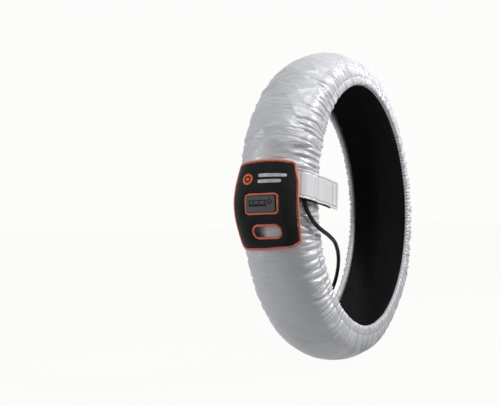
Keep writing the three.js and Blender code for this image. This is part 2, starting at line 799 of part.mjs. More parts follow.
function makeLamp([x, y]) {
  const base = boardBack + boardThickness + clearance;
  const top = facePlane - 0.6;
  const profile = [
    [0, base],
    [lampRadius, base],
    [lampRadius, top - 0.5],
    [lampRadius * 0.7, top],
    [0, top],
  ].map(([radius, height]) => new THREE.Vector2(radius, height));
  const lamp = new THREE.LatheGeometry(profile, 8);
  lamp.rotateX(Math.PI / 2);
  return lamp.translate(x, y, 0);
}

function makeScrew([x, y]) {
  const head = controllerBack - clearance;
  const profile = [
    [0, head],
    [screwRadius + 0.8, head],
    [screwRadius + 0.8, controllerBack - 0.05],
    [screwRadius, controllerBack - 0.05],
    [screwRadius, facePlane - 2.6],
    [0, facePlane - 2.6],
  ].map(([radius, height]) => new THREE.Vector2(radius, height));
  const screw = new THREE.LatheGeometry(profile, 6);
  screw.rotateX(Math.PI / 2);
  return screw.translate(x, y, 0);
}

addMesh(controller, 'controller_front_shell', makeFrontShell(), 'grey');
addMesh(controller, 'controller_back_shell', makeBackShell(), 'grey');
addMesh(controller, 'circuit_board', makeBoard(), 'green');
addMesh(controller, 'push_button', makeButton(), 'grey');
addMesh(controller, 'indicator_lens', makeLens(), 'dark');
lampPlaces.forEach((place, k) => addMesh(controller, `indicator_lamp_${k + 1}`, makeLamp(place), 'dark'));
screwPlaces.forEach((place, k) => addMesh(controller, `shell_screw_${k + 1}`, makeScrew(place), 'steel'));

// The wire grommet between the pocket and the cover, below the strap
function makeGrommet() {
  const crown = crownRadius + clearance;
  const grommet = new THREE.CylinderGeometry(4, 5, pocketBack - clearance - crown, 12);
  grommet.rotateX(Math.PI / 2);
  return grommet.translate(-20, -8, (pocketBack - clearance + crown) / 2);
}

addMesh(controller, 'wire_grommet', makeGrommet(), 'rubber');

// The power cable: out of the boot, past the near hem, through the ring, over the far hem
// and down to the level that the tread stands on
const floorLevel = -crownRadius;
const layLevel = floorLevel + cableRadius;
const bootMouth = new THREE.Vector3(bootPlace.x, bootPlace.y, bootEnd + clearance)
  .applyMatrix4(closure.matrix);
const coilCentre = [142, 52];
const coilEntry = [coilCentre[0], coilCentre[1] + coilMidRadius + cableRadius];
const coilMeet = 25.4;
const cableRoute = [
  [bootMouth.x, bootMouth.y, bootMouth.z],
  [-284.2, -65.3, 15],
  [-284.8, -65.5, 9.5],
  [-284, -66.8, -2],
  [-280.5, -69.4, -14],
  [-273.5, -72.8, -26],
  [-263, -76.8, -37],
  [-247, -80, -46],
  [-227, -80.5, -53],
  [-202, -76.5, -60],
  [-172, -69, -67],
  [-140, -59, -77],
  [-108, -48, -91],
  [-82, -37, -109],
  [-62, -25, -131],
  [-46, -11, -154],
  [-33, 6, -177],
  [-21, 25, -199],
  [-10, 43, -216.5],
  [1, 60, -229],
  [10, 75, -240],
  [18, 84, -255],
  [26, 87.5, -272],
  [37, 89, -289],
  [54, 92, -301.5],
  [74, coilEntry[1] - 0.6, layLevel + 0.4],
  [94, coilEntry[1], layLevel],
  [coilCentre[0] - coilMeet, coilEntry[1], layLevel],
].map(([x, y, z]) => new THREE.Vector3(x, y, z));

function tube(points, steps, sides) {
  const round = new THREE.Shape(Array.from({ length: sides }, (_, k) => {
    const turn = (2 * Math.PI * (k + 0.5)) / sides;
    return new THREE.Vector2(cableRadius * Math.cos(turn), cableRadius * Math.sin(turn));
  }));
  const path = new THREE.CatmullRomCurve3(points, false, 'centripetal');
  return new THREE.ExtrudeGeometry(round, { steps, extrudePath: path, bevelEnabled: false });
}

addMesh(model, 'power_cable', tube(cableRoute, 42, 8), 'rubber');

// The rest of the cable's length is wound in a coil of two layers of two turns, under the tread
const coilInner = coilMidRadius - coilTurns * cableRadius - 0.1;
const coilOuter = coilMidRadius + coilTurns * cableRadius + 0.1;
const coilTop = floorLevel + 2 * coilLayers * cableRadius;
const coilSides = 20;
const tieThickness = 1;
const tieWidth = 9;
const tieSag = (tieWidth / 2) * Math.tan(Math.PI / coilSides);

// The tie is a flat loop round the turns, and its lowest run lies under them
function tieShape(grow) {
  return roundedShape(
    coilInner - tieSag - clearance - grow, coilOuter + clearance + grow,
    floorLevel + tieThickness - grow, coilTop + clearance + grow, 1 + grow, 2 + grow,
  );
}

function acrossCoil(shape, width) {
  const band = new THREE.ExtrudeGeometry(shape, { depth: width, bevelEnabled: false, curveSegments: 2 });
  band.rotateX(Math.PI / 2);
  return band.translate(coilCentre[0], coilCentre[1] + width / 2, 0);
}

function makeTie() {
  const outline = tieShape(tieThickness);
  outline.holes.push(tieShape(0));
  return acrossCoil(outline, tieWidth);
}

function makeCoil() {
  const soft = 2.5;
  const profile = [
    [coilInner, floorLevel + soft],
    [coilInner + soft, floorLevel],
    [coilOuter - soft, floorLevel],
    [coilOuter, floorLevel + soft],
    [coilOuter, coilTop - soft],
    [coilOuter - soft, coilTop],
    [coilInner + soft, coilTop],
    [coilInner, coilTop - soft],
    [coilInner, floorLevel + soft],
  ].map(([radius, height]) => new THREE.Vector2(radius, height));
  const coil = new THREE.LatheGeometry(profile, coilSides);
  coil.rotateX(Math.PI / 2);
  coil.translate(coilCentre[0], coilCentre[1], 0);
  const notch = roundedShape(
    coilInner - 5, coilOuter + 5, floorLevel - 1, floorLevel + tieThickness + clearance, 0.2, 0.2,
  );
  return cut(coil, [acrossCoil(notch, tieWidth + 2 * clearance)]);
}

addMesh(model, 'cable_coil', makeCoil(), 'rubber');
addMesh(model, 'coil_tie', makeTie(), 'black');

// The tail leaves the coil's upper layer and ends in the plug, which lies on the floor
const tailY = coilEntry[1];
const tailLevel = coilTop - cableRadius;
const tailStart = coilCentre[0] + coilMeet;
const plugLevel = floorLevel + plugThickness / 2;
const plugStart = 204;
const tailRoute = [
  [tailStart, tailY, tailLevel],
  [tailStart + 10, tailY, tailLevel - 0.5],
  [plugStart - 10, tailY, plugLevel],
  [plugStart - clearance, tailY, plugLevel],
].map(([x, y, z]) => new THREE.Vector3(x, y, z));
addMesh(model, 'power_cable_tail', tube(tailRoute, 5, 8), 'rubber');

// A flat two-pin plug, which narrows towards the cable
const plug = new THREE.Group();
plug.position.set(plugStart, tailY, plugLevel);
plug.rotation.z = -Math.PI / 2;
model.add(plug);

function makePlugBody() {
  const half = plugWidth / 2;
  const outline = new THREE.Shape();
  outline.moveTo(-cableRadius - 1.5, 0);
  outline.lineTo(cableRadius + 1.5, 0);
  outline.lineTo(cableRadius + 1.8, plugLength * 0.3);
  outline.quadraticCurveTo(half, plugLength * 0.45, half, plugLength * 0.75);
  outline.lineTo(half, plugLength);
  outline.lineTo(-half, plugLength);
  outline.lineTo(-half, plugLength * 0.75);
  outline.quadraticCurveTo(-half, plugLength * 0.45, -cableRadius - 1.8, plugLength * 0.3);
  const bevel = 2;
  const body = new THREE.ExtrudeGeometry(outline, {
    depth: plugThickness - 2 * bevel,
    bevelThickness: bevel,
    bevelSize: bevel,
    bevelOffset: -bevel,
    bevelSegments: 1,
    curveSegments: 4,
  });
  return body.translate(0, 0, bevel - plugThickness / 2);
}

function makePin(side) {
  const tip = 1;
  const profile = [
    [0, 0],
    [pinRadius, 0],
    [pinRadius, pinLength - tip],
    [pinRadius - tip, pinLength],
    [0, pinLength],
  ].map(([radius, height]) => new THREE.Vector2(radius, height));
  const pin = new THREE.LatheGeometry(profile, 10);
  return pin.translate((side * pinSpacing) / 2, plugLength + clearance, 0);
}

addMesh(plug, 'plug_body', makePlugBody(), 'rubber');
addMesh(plug, 'plug_pin_1', makePin(-1), 'steel');
addMesh(plug, 'plug_pin_2', makePin(1), 'steel');

export default model;
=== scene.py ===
# A motorcycle tire warmer, closed and upright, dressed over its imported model.
import math

import bmesh
import bpy
import numpy as np
from mathutils import Matrix, Vector
from mathutils.geometry import delaunay_2d_cdt


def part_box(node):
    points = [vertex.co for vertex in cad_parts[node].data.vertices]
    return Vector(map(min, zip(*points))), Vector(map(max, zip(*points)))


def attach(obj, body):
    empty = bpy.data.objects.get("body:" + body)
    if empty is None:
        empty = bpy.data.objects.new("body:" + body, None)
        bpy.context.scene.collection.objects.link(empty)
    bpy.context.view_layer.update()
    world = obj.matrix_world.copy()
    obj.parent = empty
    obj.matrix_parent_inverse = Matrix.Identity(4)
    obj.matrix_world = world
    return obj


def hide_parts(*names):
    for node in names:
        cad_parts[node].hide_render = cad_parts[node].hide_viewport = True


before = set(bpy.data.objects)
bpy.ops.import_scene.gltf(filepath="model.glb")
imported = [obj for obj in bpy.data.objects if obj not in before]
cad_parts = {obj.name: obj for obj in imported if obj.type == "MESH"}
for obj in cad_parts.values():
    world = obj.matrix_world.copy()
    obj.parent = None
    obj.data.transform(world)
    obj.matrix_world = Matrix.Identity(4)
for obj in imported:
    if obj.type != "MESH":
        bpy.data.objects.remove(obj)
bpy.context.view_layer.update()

body = "root"

# Sizes, in metres
CROWN, HEM, HALF, SHOULDER, FLAT = 0.310, 0.243, 0.070, 0.290, 0.038
COVER = 0.0015
GAP = 0.0003
JOIN = math.radians(7.3)
SLIT = 0.0003 / CROWN
FLOOR = -CROWN
CABLE = 0.00375


def smooth(a, b, x):
    t = np.clip((np.asarray(x, float) - a) / (b - a), 0, 1)
    return t * t * (3 - 2 * t)


def section(share, depth=0.0):
    """(radius, y) of the ring's section, from the crown (0) to the hem (1 or -1)."""
    t = abs(share)
    side = -1.0 if share < 0 else 1.0
    r = (1 - t) ** 3 * CROWN + 3 * (1 - t) ** 2 * t * CROWN + 3 * (1 - t) * t * t * SHOULDER + t ** 3 * HEM
    y = 3 * (1 - t) ** 2 * t * FLAT + 3 * (1 - t) * t * t * HALF + t ** 3 * HALF
    dr = 6 * (1 - t) * t * (SHOULDER - CROWN) + 3 * t * t * (HEM - SHOULDER)
    dy = 3 * (1 - t) ** 2 * FLAT + 6 * (1 - t) * t * (HALF - FLAT)
    size = math.hypot(dr, dy)
    return r - dy / size * depth, side * (y + dr / size * depth)


def squared(value, power):
    """A cosine or a sine bent towards a square by its power."""
    return math.copysign(abs(value) ** power, value)


def ring(angle, radius, y):
    return Vector((-radius * math.cos(angle), y, radius * math.sin(angle)))


# The strap's frame: X out from the axle, Y along it, Z down the tread from the join
closure = Matrix((
    (-math.cos(JOIN), 0, -math.sin(JOIN), 0),
    (0, 1, 0, 0),
    (math.sin(JOIN), 0, -math.cos(JOIN), 0),
    (0, 0, 0, 1),
))

# The panel's frame: x to the right, y up, z towards someone who faces it
front = Matrix(((0, 0, -1, 0), (-1, 0, 0, 0), (0, 1, 0, 0), (0, 0, 0, 1)))


def link(obj):
    bpy.context.scene.collection.objects.link(obj)
    return obj


def mesh_object(name, verts, faces, smooth_shade=True):
    mesh = bpy.data.meshes.new(name)
    mesh.from_pydata([tuple(v) for v in verts], [], faces)
    mesh.validate()
    if smooth_shade:
        mesh.shade_smooth()
    return link(bpy.data.objects.new(name, mesh))


def tube_faces(rows, sides, first=0, loop=False, caps=False):
    """Faces between rows of points that each close on themselves."""
    faces = []
    for j in range(rows if loop else rows - 1):
        here, ahead = first + j * sides, first + (j + 1) % rows * sides
        for k in range(sides):
            n = (k + 1) % sides
            faces.append((here + k, here + n, ahead + n, ahead + k))
    if caps:
        faces.append(tuple(range(first, first + sides)))
        faces.append(tuple(range(first + (rows - 1) * sides, first + rows * sides)))
    return faces


def slab_faces(along, across, first=0):
    """Faces of two grids of points, one behind the other, and of the edge between them."""
    wide = across + 1
    size = (along + 1) * wide
    faces = []
    for i in range(along):
        for j in range(across):
            a = first + i * wide + j
            faces.append((a, a + 1, a + wide + 1, a + wide))
            faces.append((size + a, size + a + wide, size + a + wide + 1, size + a + 1))
    edges = [(i * wide + j, (i + 1) * wide + j) for i in range(along) for j in (0, across)]
    edges += [(i * wide + j, i * wide + j + 1) for j in range(across) for i in (0, along)]
    for a, b in edges:
        faces.append((first + a, first + b, first + b + size, first + a + size))
    return faces


def closed(name, verts, faces, smooth_shade=True):
    """A closed mesh whose faces all point outwards."""
    obj = mesh_object(name, verts, faces, smooth_shade)
    work = bmesh.new()
    work.from_mesh(obj.data)
    bmesh.ops.recalc_face_normals(work, faces=work.faces)
    work.to_mesh(obj.data)
    work.free()
    return obj


def dress(obj, material, replaces=()):
    obj.data.materials.clear()
    obj.data.materials.append(material)
    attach(obj, body)
    if replaces:
        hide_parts(*replaces)
    return obj


# Camera
PICTURE = (500, 406)
FOCAL, AIM, DISTANCE = 912.5, (336.3, 206.24), 1.865
azimuth, elevation, roll = math.radians(-66.35), math.radians(-0.9), math.radians(-1.68)
back = Vector((
    math.sin(azimuth) * math.cos(elevation),
    -math.cos(azimuth) * math.cos(elevation),
    math.sin(elevation),
))
level = Vector((math.cos(azimuth), math.sin(azimuth), 0))
upright = back.cross(level)
right = math.cos(roll) * level + math.sin(roll) * upright
up = -math.sin(roll) * level + math.cos(roll) * upright
camera = bpy.data.objects.new("camera", bpy.data.cameras.new("camera"))
link(camera)
place = back * DISTANCE
camera.matrix_world = Matrix((
    (right.x, up.x, back.x, place.x),
    (right.y, up.y, back.y, place.y),
    (right.z, up.z, back.z, place.z),
    (0, 0, 0, 1),
))
camera.data.sensor_width = 36
camera.data.lens = FOCAL * 36 / PICTURE[0]
camera.data.shift_x = (PICTURE[0] / 2 - AIM[0]) / PICTURE[0]
camera.data.shift_y = (AIM[1] - PICTURE[1] / 2) / PICTURE[0]
camera.data.clip_start = 0.05
bpy.context.scene.camera = camera


# Materials
def combine(tree, operation, a, b):
    """A math node of two sockets, or of a socket and a number."""
    node = tree.nodes.new("ShaderNodeMath")
    node.operation = operation
    tree.links.new(a, node.inputs[0])
    if isinstance(b, float):
        node.inputs[1].default_value = b
    else:
        tree.links.new(b, node.inputs[1])
    return node.outputs[0]


class Nodes:
    """A material's node tree, with its shader and short ways to add nodes."""

    def __init__(self, name, colour, roughness, metallic=0.0, specular=0.5, sheen=0.0):
        self.material = bpy.data.materials.new(name)
        self.material.use_nodes = True
        self.tree = self.material.node_tree
        self.shader = self.tree.nodes["Principled BSDF"]
        for socket, value in (
            ("Base Color", (*colour, 1)), ("Roughness", roughness), ("Metallic", metallic),
            ("Specular IOR Level", specular), ("Sheen Weight", sheen), ("Sheen Roughness", 0.45),
        ):
            self.set(self.shader, socket, value)
        self.colour = colour

    def set(self, node, socket, value):
        node.inputs[socket].default_value = value

    def add(self, kind):
        return self.tree.nodes.new(kind)

    def join(self, source, target):
        self.tree.links.new(source, target)

    def space(self, scale, uv=False):
        coordinate = self.add("ShaderNodeTexCoord")
        mapping = self.add("ShaderNodeMapping")
        self.set(mapping, "Scale", scale)
        self.join(coordinate.outputs["UV" if uv else "Object"], mapping.inputs["Vector"])
        return mapping.outputs["Vector"]

    def noise(self, scale, detail=3.0, rough=0.5, vector=None):
        node = self.add("ShaderNodeTexNoise")
        self.set(node, "Scale", scale)
        self.set(node, "Detail", detail)
        self.set(node, "Roughness", rough)
        self.join(vector or self.space((1, 1, 1)), node.inputs["Vector"])
        return node.outputs["Fac"]

    def wave(self, scale, direction, vector):
        node = self.add("ShaderNodeTexWave")
        node.bands_direction = direction
        self.set(node, "Scale", scale)
        self.join(vector, node.inputs["Vector"])
        return node.outputs["Fac"]

    def speckle(self, factor, spread):
        """Lets the colour vary a little with the factor."""
        ramp = self.add("ShaderNodeValToRGB")
        for element, position, way in zip(ramp.color_ramp.elements, (0.35, 0.65), (-1, 1)):
            element.position = position
            element.color = (*(min(1, c * (1 + way * spread)) for c in self.colour), 1)
        self.join(factor, ramp.inputs["Fac"])
        self.join(ramp.outputs["Color"], self.shader.inputs["Base Color"])

    def gloss(self, factor, low, high):
        span = self.add("ShaderNodeMapRange")
        self.set(span, "To Min", low)
        self.set(span, "To Max", high)
        self.join(factor, span.inputs["Value"])
        self.join(span.outputs["Result"], self.shader.inputs["Roughness"])

    def bump(self, *layers):
        """Each layer is (height, strength, depth in metres)."""
        last = None
        for height, strength, depth in layers:
            node = self.add("ShaderNodeBump")
            self.set(node, "Strength", strength)
            self.set(node, "Distance", depth)
            self.join(height, node.inputs["Height"])
            if last:
                self.join(last, node.inputs["Normal"])
            last = node.outputs["Normal"]
        self.join(last, self.shader.inputs["Normal"])


def weave(nodes, threads, uv):
    """The crossing threads of a plain weave, from 0 to 1."""
    vector = nodes.space((1, 1, 1), uv)
    warp = nodes.wave(threads, "X", vector)
    weft = nodes.wave(threads, "Y", vector)
    return combine(nodes.tree, "MULTIPLY", warp, weft)


def silver_cloth(name, crinkle=True):
    colour = (0.66, 0.67, 0.70) if crinkle else (0.82, 0.83, 0.85)
    n = Nodes(name, colour, 0.36, metallic=0.14, specular=0.35, sheen=0.03)
    n.speckle(n.noise(14, 4), 0.05)
    n.gloss(n.noise(40, 3), 0.28, 0.42)
    fine = weave(n, 250, True)
    if crinkle:
        crease = n.noise(1.0, 4, 0.62, n.space((46, 7, 1), True))
        streaks = n.noise(1.0, 3, 0.55, n.space((150, 16, 1), True))
        broad = n.noise(22, 3, 0.5)
        n.bump((fine, 0.1, 0.0004), (streaks, 0.75, 0.0022), (crease, 0.75, 0.0055), (broad, 0.3, 0.004))
    else:
        n.bump((fine, 0.15, 0.0004), (n.noise(90, 3), 0.2, 0.0012))
    return n.material


def black_cloth(name, colour=(0.008, 0.008, 0.009), threads=170, roughness=0.62, sheen=0.03):
    n = Nodes(name, colour, roughness, specular=0.12, sheen=sheen)
    n.speckle(n.noise(60, 4), 0.22)
    n.gloss(n.noise(25, 2), roughness - 0.08, roughness + 0.1)
    n.bump((weave(n, threads, False), 0.3, 0.0005), (n.noise(70, 3), 0.25, 0.0012))
    return n.material


def moulded(name, colour, roughness=0.45, grain=900, depth=0.00015, specular=0.5):
    n = Nodes(name, colour, roughness, specular=specular)
    n.speckle(n.noise(80, 3), 0.06)
    n.gloss(n.noise(35, 2), roughness - 0.05, roughness + 0.08)
    n.bump((n.noise(grain, 2), 0.35, depth))
    return n.material


def metal(name, colour, roughness):
    n = Nodes(name, colour, roughness, metallic=1.0)
    n.speckle(n.noise(60, 3), 0.05)
    n.gloss(n.noise(200, 3, 0.6, n.space((1, 1, 14))), roughness - 0.06, roughness + 0.1)
    return n.material


silver = silver_cloth("silver_cloth")
strap_silver = silver_cloth("strap_cloth", crinkle=False)
panel_black = black_cloth("panel_cloth")
lining_black = black_cloth("lining_cloth", (0.008, 0.008, 0.009), 120, 0.8, 0.02)
tape_black = black_cloth("tape_black", (0.006, 0.006, 0.007), 420, 0.9, 0.03)
thread_grey = black_cloth("thread_grey", (0.20, 0.205, 0.22), 600, 0.6, 0.1)
thread_black = black_cloth("thread_black", (0.02, 0.02, 0.02), 600, 0.7, 0.1)
white_elastic = black_cloth("white_elastic", (0.6, 0.6, 0.58), 320, 0.85, 0.1)
felt = black_cloth("felt", (0.62, 0.58, 0.5), 60, 0.95, 0.3)
band_cloth = black_cloth("band_cloth", (0.22, 0.09, 0.05), 140, 0.8, 0.1)
rubber = moulded("cable_rubber", (0.008, 0.008, 0.009), 0.55, 700, specular=0.2)
plug_rubber = moulded("plug_rubber", (0.014, 0.014, 0.015), 0.48, 500)
grey_plastic = moulded("grey_plastic", (0.115, 0.115, 0.12), 0.5, specular=0.2)
dark_plastic = moulded("dark_plastic", (0.004, 0.004, 0.004), 0.35, 500, 0.00005, 0.1)
lens_plastic = moulded("lens_plastic", (0.005, 0.005, 0.006), 0.35, 500, 0.00005, 0.15)
lens_grey = moulded("lens_grey", (0.115, 0.115, 0.118), 0.4, 500, 0.00005, 0.2)
wire_rubber = moulded("wire_rubber", (0.5, 0.2, 0.08), 0.55)
board_green = moulded("board_green", (0.02, 0.12, 0.04), 0.45)
pin_metal = metal("pin_metal", (0.72, 0.71, 0.69), 0.22)
screw_metal = metal("screw_metal", (0.5, 0.5, 0.51), 0.35)


def orange_cloth(name, colour, roughness):
    n = Nodes(name, colour, roughness, specular=0.35, sheen=0.15)
    n.speckle(n.noise(120, 3), 0.1)
    n.bump((n.wave(420, "DIAGONAL", n.space((1, 1, 1))), 0.4, 0.0003), (n.noise(300, 2), 0.2, 0.0004))
    return n.material


orange = orange_cloth("piping_orange", (0.98, 0.25, 0.145), 0.55)
orange_print = orange_cloth("print_orange", (0.88, 0.15, 0.03), 0.5)
pale_print = black_cloth("print_pale", (0.78, 0.79, 0.80), 200, 0.5, 0.0)

# The power cable, its coil and its plug
MOUTH = Vector((-0.28365, -0.06526, 0.01990))
route = [tuple(MOUTH)] + [(x / 1000, y / 1000, z / 1000) for x, y, z in (
    (-284.2, -65.3, 15), (-284.8, -65.5, 9.5), (-284, -66.8, -2), (-280.5, -69.4, -14),
    (-273.5, -72.8, -26), (-263, -76.8, -37), (-247, -80, -46), (-227, -80.5, -53),
    (-202, -76.5, -60), (-172, -69, -67), (-140, -59, -77), (-108, -48, -91),
    (-82, -37, -109), (-62, -25, -131), (-46, -11, -154), (-33, 6, -177),
    (-21, 25, -199), (-10, 43, -216.5), (1, 60, -229), (10, 75, -240),
    (18, 84, -255), (26, 87.5, -272), (37, 89, -289), (54, 92, -301.5),
    (74, 96.4, -305.85), (94, 97, -306.25), (116.6, 97, -306.25),
)]
COIL = Vector((0.142, 0.052, 0))
LOW, HIGH = FLOOR + CABLE, FLOOR + 3 * CABLE
WIDE, TIGHT = 0.045, 0.0375
TURNS = 3
steps = 18 * TURNS
for k in range(steps + 1):
    turn = 360 * TURNS * k / steps
    tighter = float(smooth(285, 350, turn)) - float(smooth(875, 935, turn))
    radius = WIDE + (TIGHT - WIDE) * tighter
    height = LOW + (HIGH - LOW) * float(smooth(580, 640, turn))
    a = math.radians(turn)
    route.append((COIL.x + radius * math.sin(a), COIL.y + radius * math.cos(a), height))
PLUG = Vector((0.204, 0.097, FLOOR + 0.0085))
route += [(0.1698, 0.097, HIGH), (0.182, 0.097, -0.2997), (0.194, 0.097, PLUG.z), (0.2037, 0.097, PLUG.z)]


def cord_curve(name, points, radius):
    data = bpy.data.curves.new(name, "CURVE")
    data.dimensions = "3D"
    data.bevel_depth = radius
    data.bevel_resolution = 3
    data.resolution_u = 6
    data.use_fill_caps = True
    spline = data.splines.new("BEZIER")
    spline.bezier_points.add(len(points) - 1)
    for point, place_ in zip(spline.bezier_points, points):
        point.co = place_
        point.handle_left_type = point.handle_right_type = "AUTO"
    return link(bpy.data.objects.new(name, data))


cable = cord_curve("power_lead", route, CABLE)
dress(cable, rubber, ["power_cable", "cable_coil", "power_cable_tail"])


def make_plug():
    """A flat moulded two-pin plug with grip grooves and a ribbed neck, heading +X."""
    rows = []
    length, half, thick = 0.040, 0.018, 0.0085
    for k in range(61):
        x = length * k / 60
        t = x / length
        wide = 0.0055 + (half - 0.0055) * float(smooth(0.18, 0.62, t))
        deep = 0.0055 + (thick - 0.0055) * float(smooth(0.12, 0.45, t))
        ribs = 0.0007 * (0.5 - 0.5 * math.cos(2 * math.pi * x / 0.0032)) if x < 0.0096 else 0
        grip = 0.0006 * max(0, math.cos(2 * math.pi * (x - 0.022) / 0.0035)) if 0.019 < x < 0.034 else 0
        end = 1 - 0.16 * float(smooth(0.95, 1.0, t)) ** 2
        rows.append((x, (wide - ribs - grip) * end, (deep - ribs * 0.8) * end))
    verts = []
    sides = 32
    corner = 0.62
    for x, wide, deep in rows:
        for s in range(sides):
            a = 2 * math.pi * s / sides
            cy = squared(math.cos(a), corner) * wide
            cz = squared(math.sin(a), corner) * deep
            verts.append(PLUG + Vector((x, cy, cz)))
    obj = closed("mains_plug", verts, tube_faces(len(rows), sides, caps=True))
    return dress(obj, plug_rubber, ["plug_body"])


plug = make_plug()


def make_tie():
    """The flat loop that holds the turns, its ends meeting where it closes."""
    low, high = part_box("coil_tie")
    centre = ((low[0] + high[0]) / 2, (low[2] + high[2]) / 2)
    half = ((high[0] - low[0]) / 2 - 0.0006, (high[2] - low[2]) / 2 - 0.0006)
    loop = []
    for k in range(49):
        a = 2 * math.pi * k / 48 + 0.3
        c, s = math.cos(a), math.sin(a)
        loop.append((centre[0] + half[0] * squared(c, 0.45), centre[1] + half[1] * squared(s, 0.45), c, s))
    verts = []
    for x, z, c, s in loop:
        for across, off in ((-1, 0), (1, 0), (1, 1), (-1, 1)):
            verts.append((x - 0.0008 * off * c, COIL.y + across * 0.0044, z - 0.0008 * off * s))
    obj = closed("coil_loop", verts, tube_faces(len(loop), 4))
    return dress(obj, tape_black, ["coil_tie"])


tie = make_tie()
for pin in ("plug_pin_1", "plug_pin_2"):
    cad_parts[pin].data.materials[0] = pin_metal

# The cover and its gathers
def lattice(u, v, cells_u, cell_v, seed):
    """Smooth noise from -1 to 1 that closes on itself once u has gone from 0 to 1."""
    table = np.random.default_rng(seed).uniform(-1, 1, (cells_u, 64))
    x = np.asarray(u) * cells_u
    y = np.asarray(v) / cell_v + 20
    i, j = np.floor(x).astype(int), np.floor(y).astype(int)
    fx, fy = x - i, y - j
    fx, fy = fx * fx * (3 - 2 * fx), fy * fy * (3 - 2 * fy)
    i0, i1, j0, j1 = i % cells_u, (i + 1) % cells_u, j % 64, (j + 1) % 64
    low = table[i0, j0] * (1 - fx) + table[i1, j0] * fx
    high = table[i0, j1] * (1 - fx) + table[i1, j1] * fx
    return low * (1 - fy) + high * fy


def make_gathers(seed, count, first, last, depth, width):
    """Valleys between the gathers: centre, start, depth, drift, bend and the widths of their two sides."""
    dice = np.random.default_rng(seed)
    pitch = 360 / count
    centre = (np.arange(count) + dice.uniform(-0.3, 0.3, count)) * pitch
    start = first + (last - first) * dice.beta(1.7, 1.3, count)
    deep = depth * dice.uniform(0.35, 1.0, count)
    drift = dice.normal(0, 3.6, count)
    bend = dice.normal(0, 5.0, count)
    wide_a = width * dice.uniform(0.6, 1.5, count)
    wide_b = width * dice.uniform(0.6, 1.5, count)
    return np.stack([centre, start, deep, drift, bend, wide_a, wide_b], 1)


def valleys(turn, share, gathers, reach):
    """Depth of the valleys in mm, at angles in degrees and one share from 0 to 1."""
    total = np.zeros_like(turn)
    for centre, start, deep, drift, bend, wide_a, wide_b in gathers:
        grown = float(smooth(start, start + reach, share))
        if grown == 0:
            continue
        away = (turn - centre - drift * (share - 0.9) - bend * (share - 0.9) ** 2 + 180) % 360 - 180
        width = np.where(away < 0, wide_a, wide_b)
        total += deep * grown * np.exp(-(np.abs(away) / width) ** 1.4)
    return total


STATIONS = 1440
turns = JOIN + np.clip(2 * np.pi * np.arange(STATIONS + 1) / STATIONS, SLIT, 2 * np.pi - SLIT)
degrees = np.degrees(turns) % 360
u01 = (turns - JOIN) / (2 * np.pi)
from_join = np.minimum(turns - JOIN, 2 * np.pi - (turns - JOIN)) * SHOULDER
signed = (degrees + 180) % 360 - 180

near_folds = make_gathers(5, 124, 0.24, 0.66, 7.0, 0.60), make_gathers(6, 240, 0.44, 0.80, 3.0, 0.36)
far_folds = make_gathers(8, 118, 0.28, 0.66, 6.6, 0.62), make_gathers(9, 230, 0.46, 0.80, 2.8, 0.36)


def tread_wrinkles(share, y_mm):
    """Wrinkles that cross the tread: strong over the panel, soft elsewhere, in mm."""
    above = smooth(14, 22, signed) * (1 - smooth(52, 95, signed))
    below = smooth(-12, -20, signed) * (1 - smooth(-26, -62, signed))
    warp = 0.012 * lattice(u01, np.full_like(u01, y_mm), 26, 46.0, 31)
    ridge_a = 1 - np.abs(lattice(u01 + warp + 0.00012 * y_mm, np.full_like(u01, y_mm), 96, 105.0, 41)) * 1.6
    ridge_b = 1 - np.abs(lattice(u01 - warp - 0.0002 * y_mm, np.full_like(u01, y_mm), 150, 70.0, 43)) * 1.8
    crossing = 1.15 * np.clip(ridge_a, 0, 1) ** 2 + 0.7 * np.clip(ridge_b, 0, 1) ** 2.5
    side = 0.25 + 0.75 * float(smooth(-10, 45, -y_mm))
    soft = 0.55 * lattice(u01, np.full_like(u01, y_mm), 40, 60.0, 51)
    bottom = smooth(-60, -80, signed) * (1 - smooth(-100, -125, signed))
    amount = above * 1.7 + below * side * 0.55 + 0.14
    return (crossing * amount + soft * (0.6 + above * 0.5)) * (1 - 0.85 * bottom * (1 - abs(share)) ** 2)


def around(cells, seed):
    """Smooth noise round the ring, from -1 to 1 at each station."""
    return lattice(u01, np.zeros_like(u01), cells, 9.0, seed)


RUFFLES = 205
ruffle = 0.5 + 0.5 * np.cos(2 * np.pi * RUFFLES * u01 + 2.2 * around(60, 81))
HEM_SEAM = 0.885


def cover_rise(share):
    """How far the cloth stands out from the plain section at each station, in metres."""
    reach = abs(share)
    near = share < 0
    _, y = section(share)
    y_mm = y * 1000
    pressed = smooth(0.024, 0.037, from_join) if near else np.ones_like(u01)
    calm = 0.8 + 0.3 * around(14, 61 if near else 62)
    broad, fine = near_folds if near else far_folds
    total = 4.4 * float(smooth(0.36, 0.70, reach)) * calm
    lower = 1 + 0.3 * smooth(12, 30, -signed) * (1 - smooth(110, 150, -signed))
    total -= valleys(degrees, reach, broad, 0.17) * calm * lower
    total -= valleys(degrees, reach, fine, 0.12) * calm * lower
    seam = math.exp(-((reach - HEM_SEAM) / 0.012) ** 2)
    total *= 1 - 0.35 * float(smooth(0.80, 0.90, reach))
    total += 1.3 * ruffle * float(smooth(0.90, 0.95, reach)) * (0.7 + 0.3 * around(90, 82))
    total += tread_wrinkles(share, y_mm) * (1 - 0.8 * float(smooth(0.75, 0.9, reach)))
    total = np.maximum(total, -0.6) * pressed - 0.9 * seam * (0.4 + 0.6 * pressed)
    return total / 1000


def raised(share, height):
    """Radius and y of the cover at a share, raised off the plain section, and the way that it faces."""
    r0, y0 = section(share)
    r1, y1 = section(share, -0.001)
    nr, ny = (r1 - r0) / 0.001, (y1 - y0) / 0.001
    return r0 + nr * height, y0 + ny * height, nr, ny


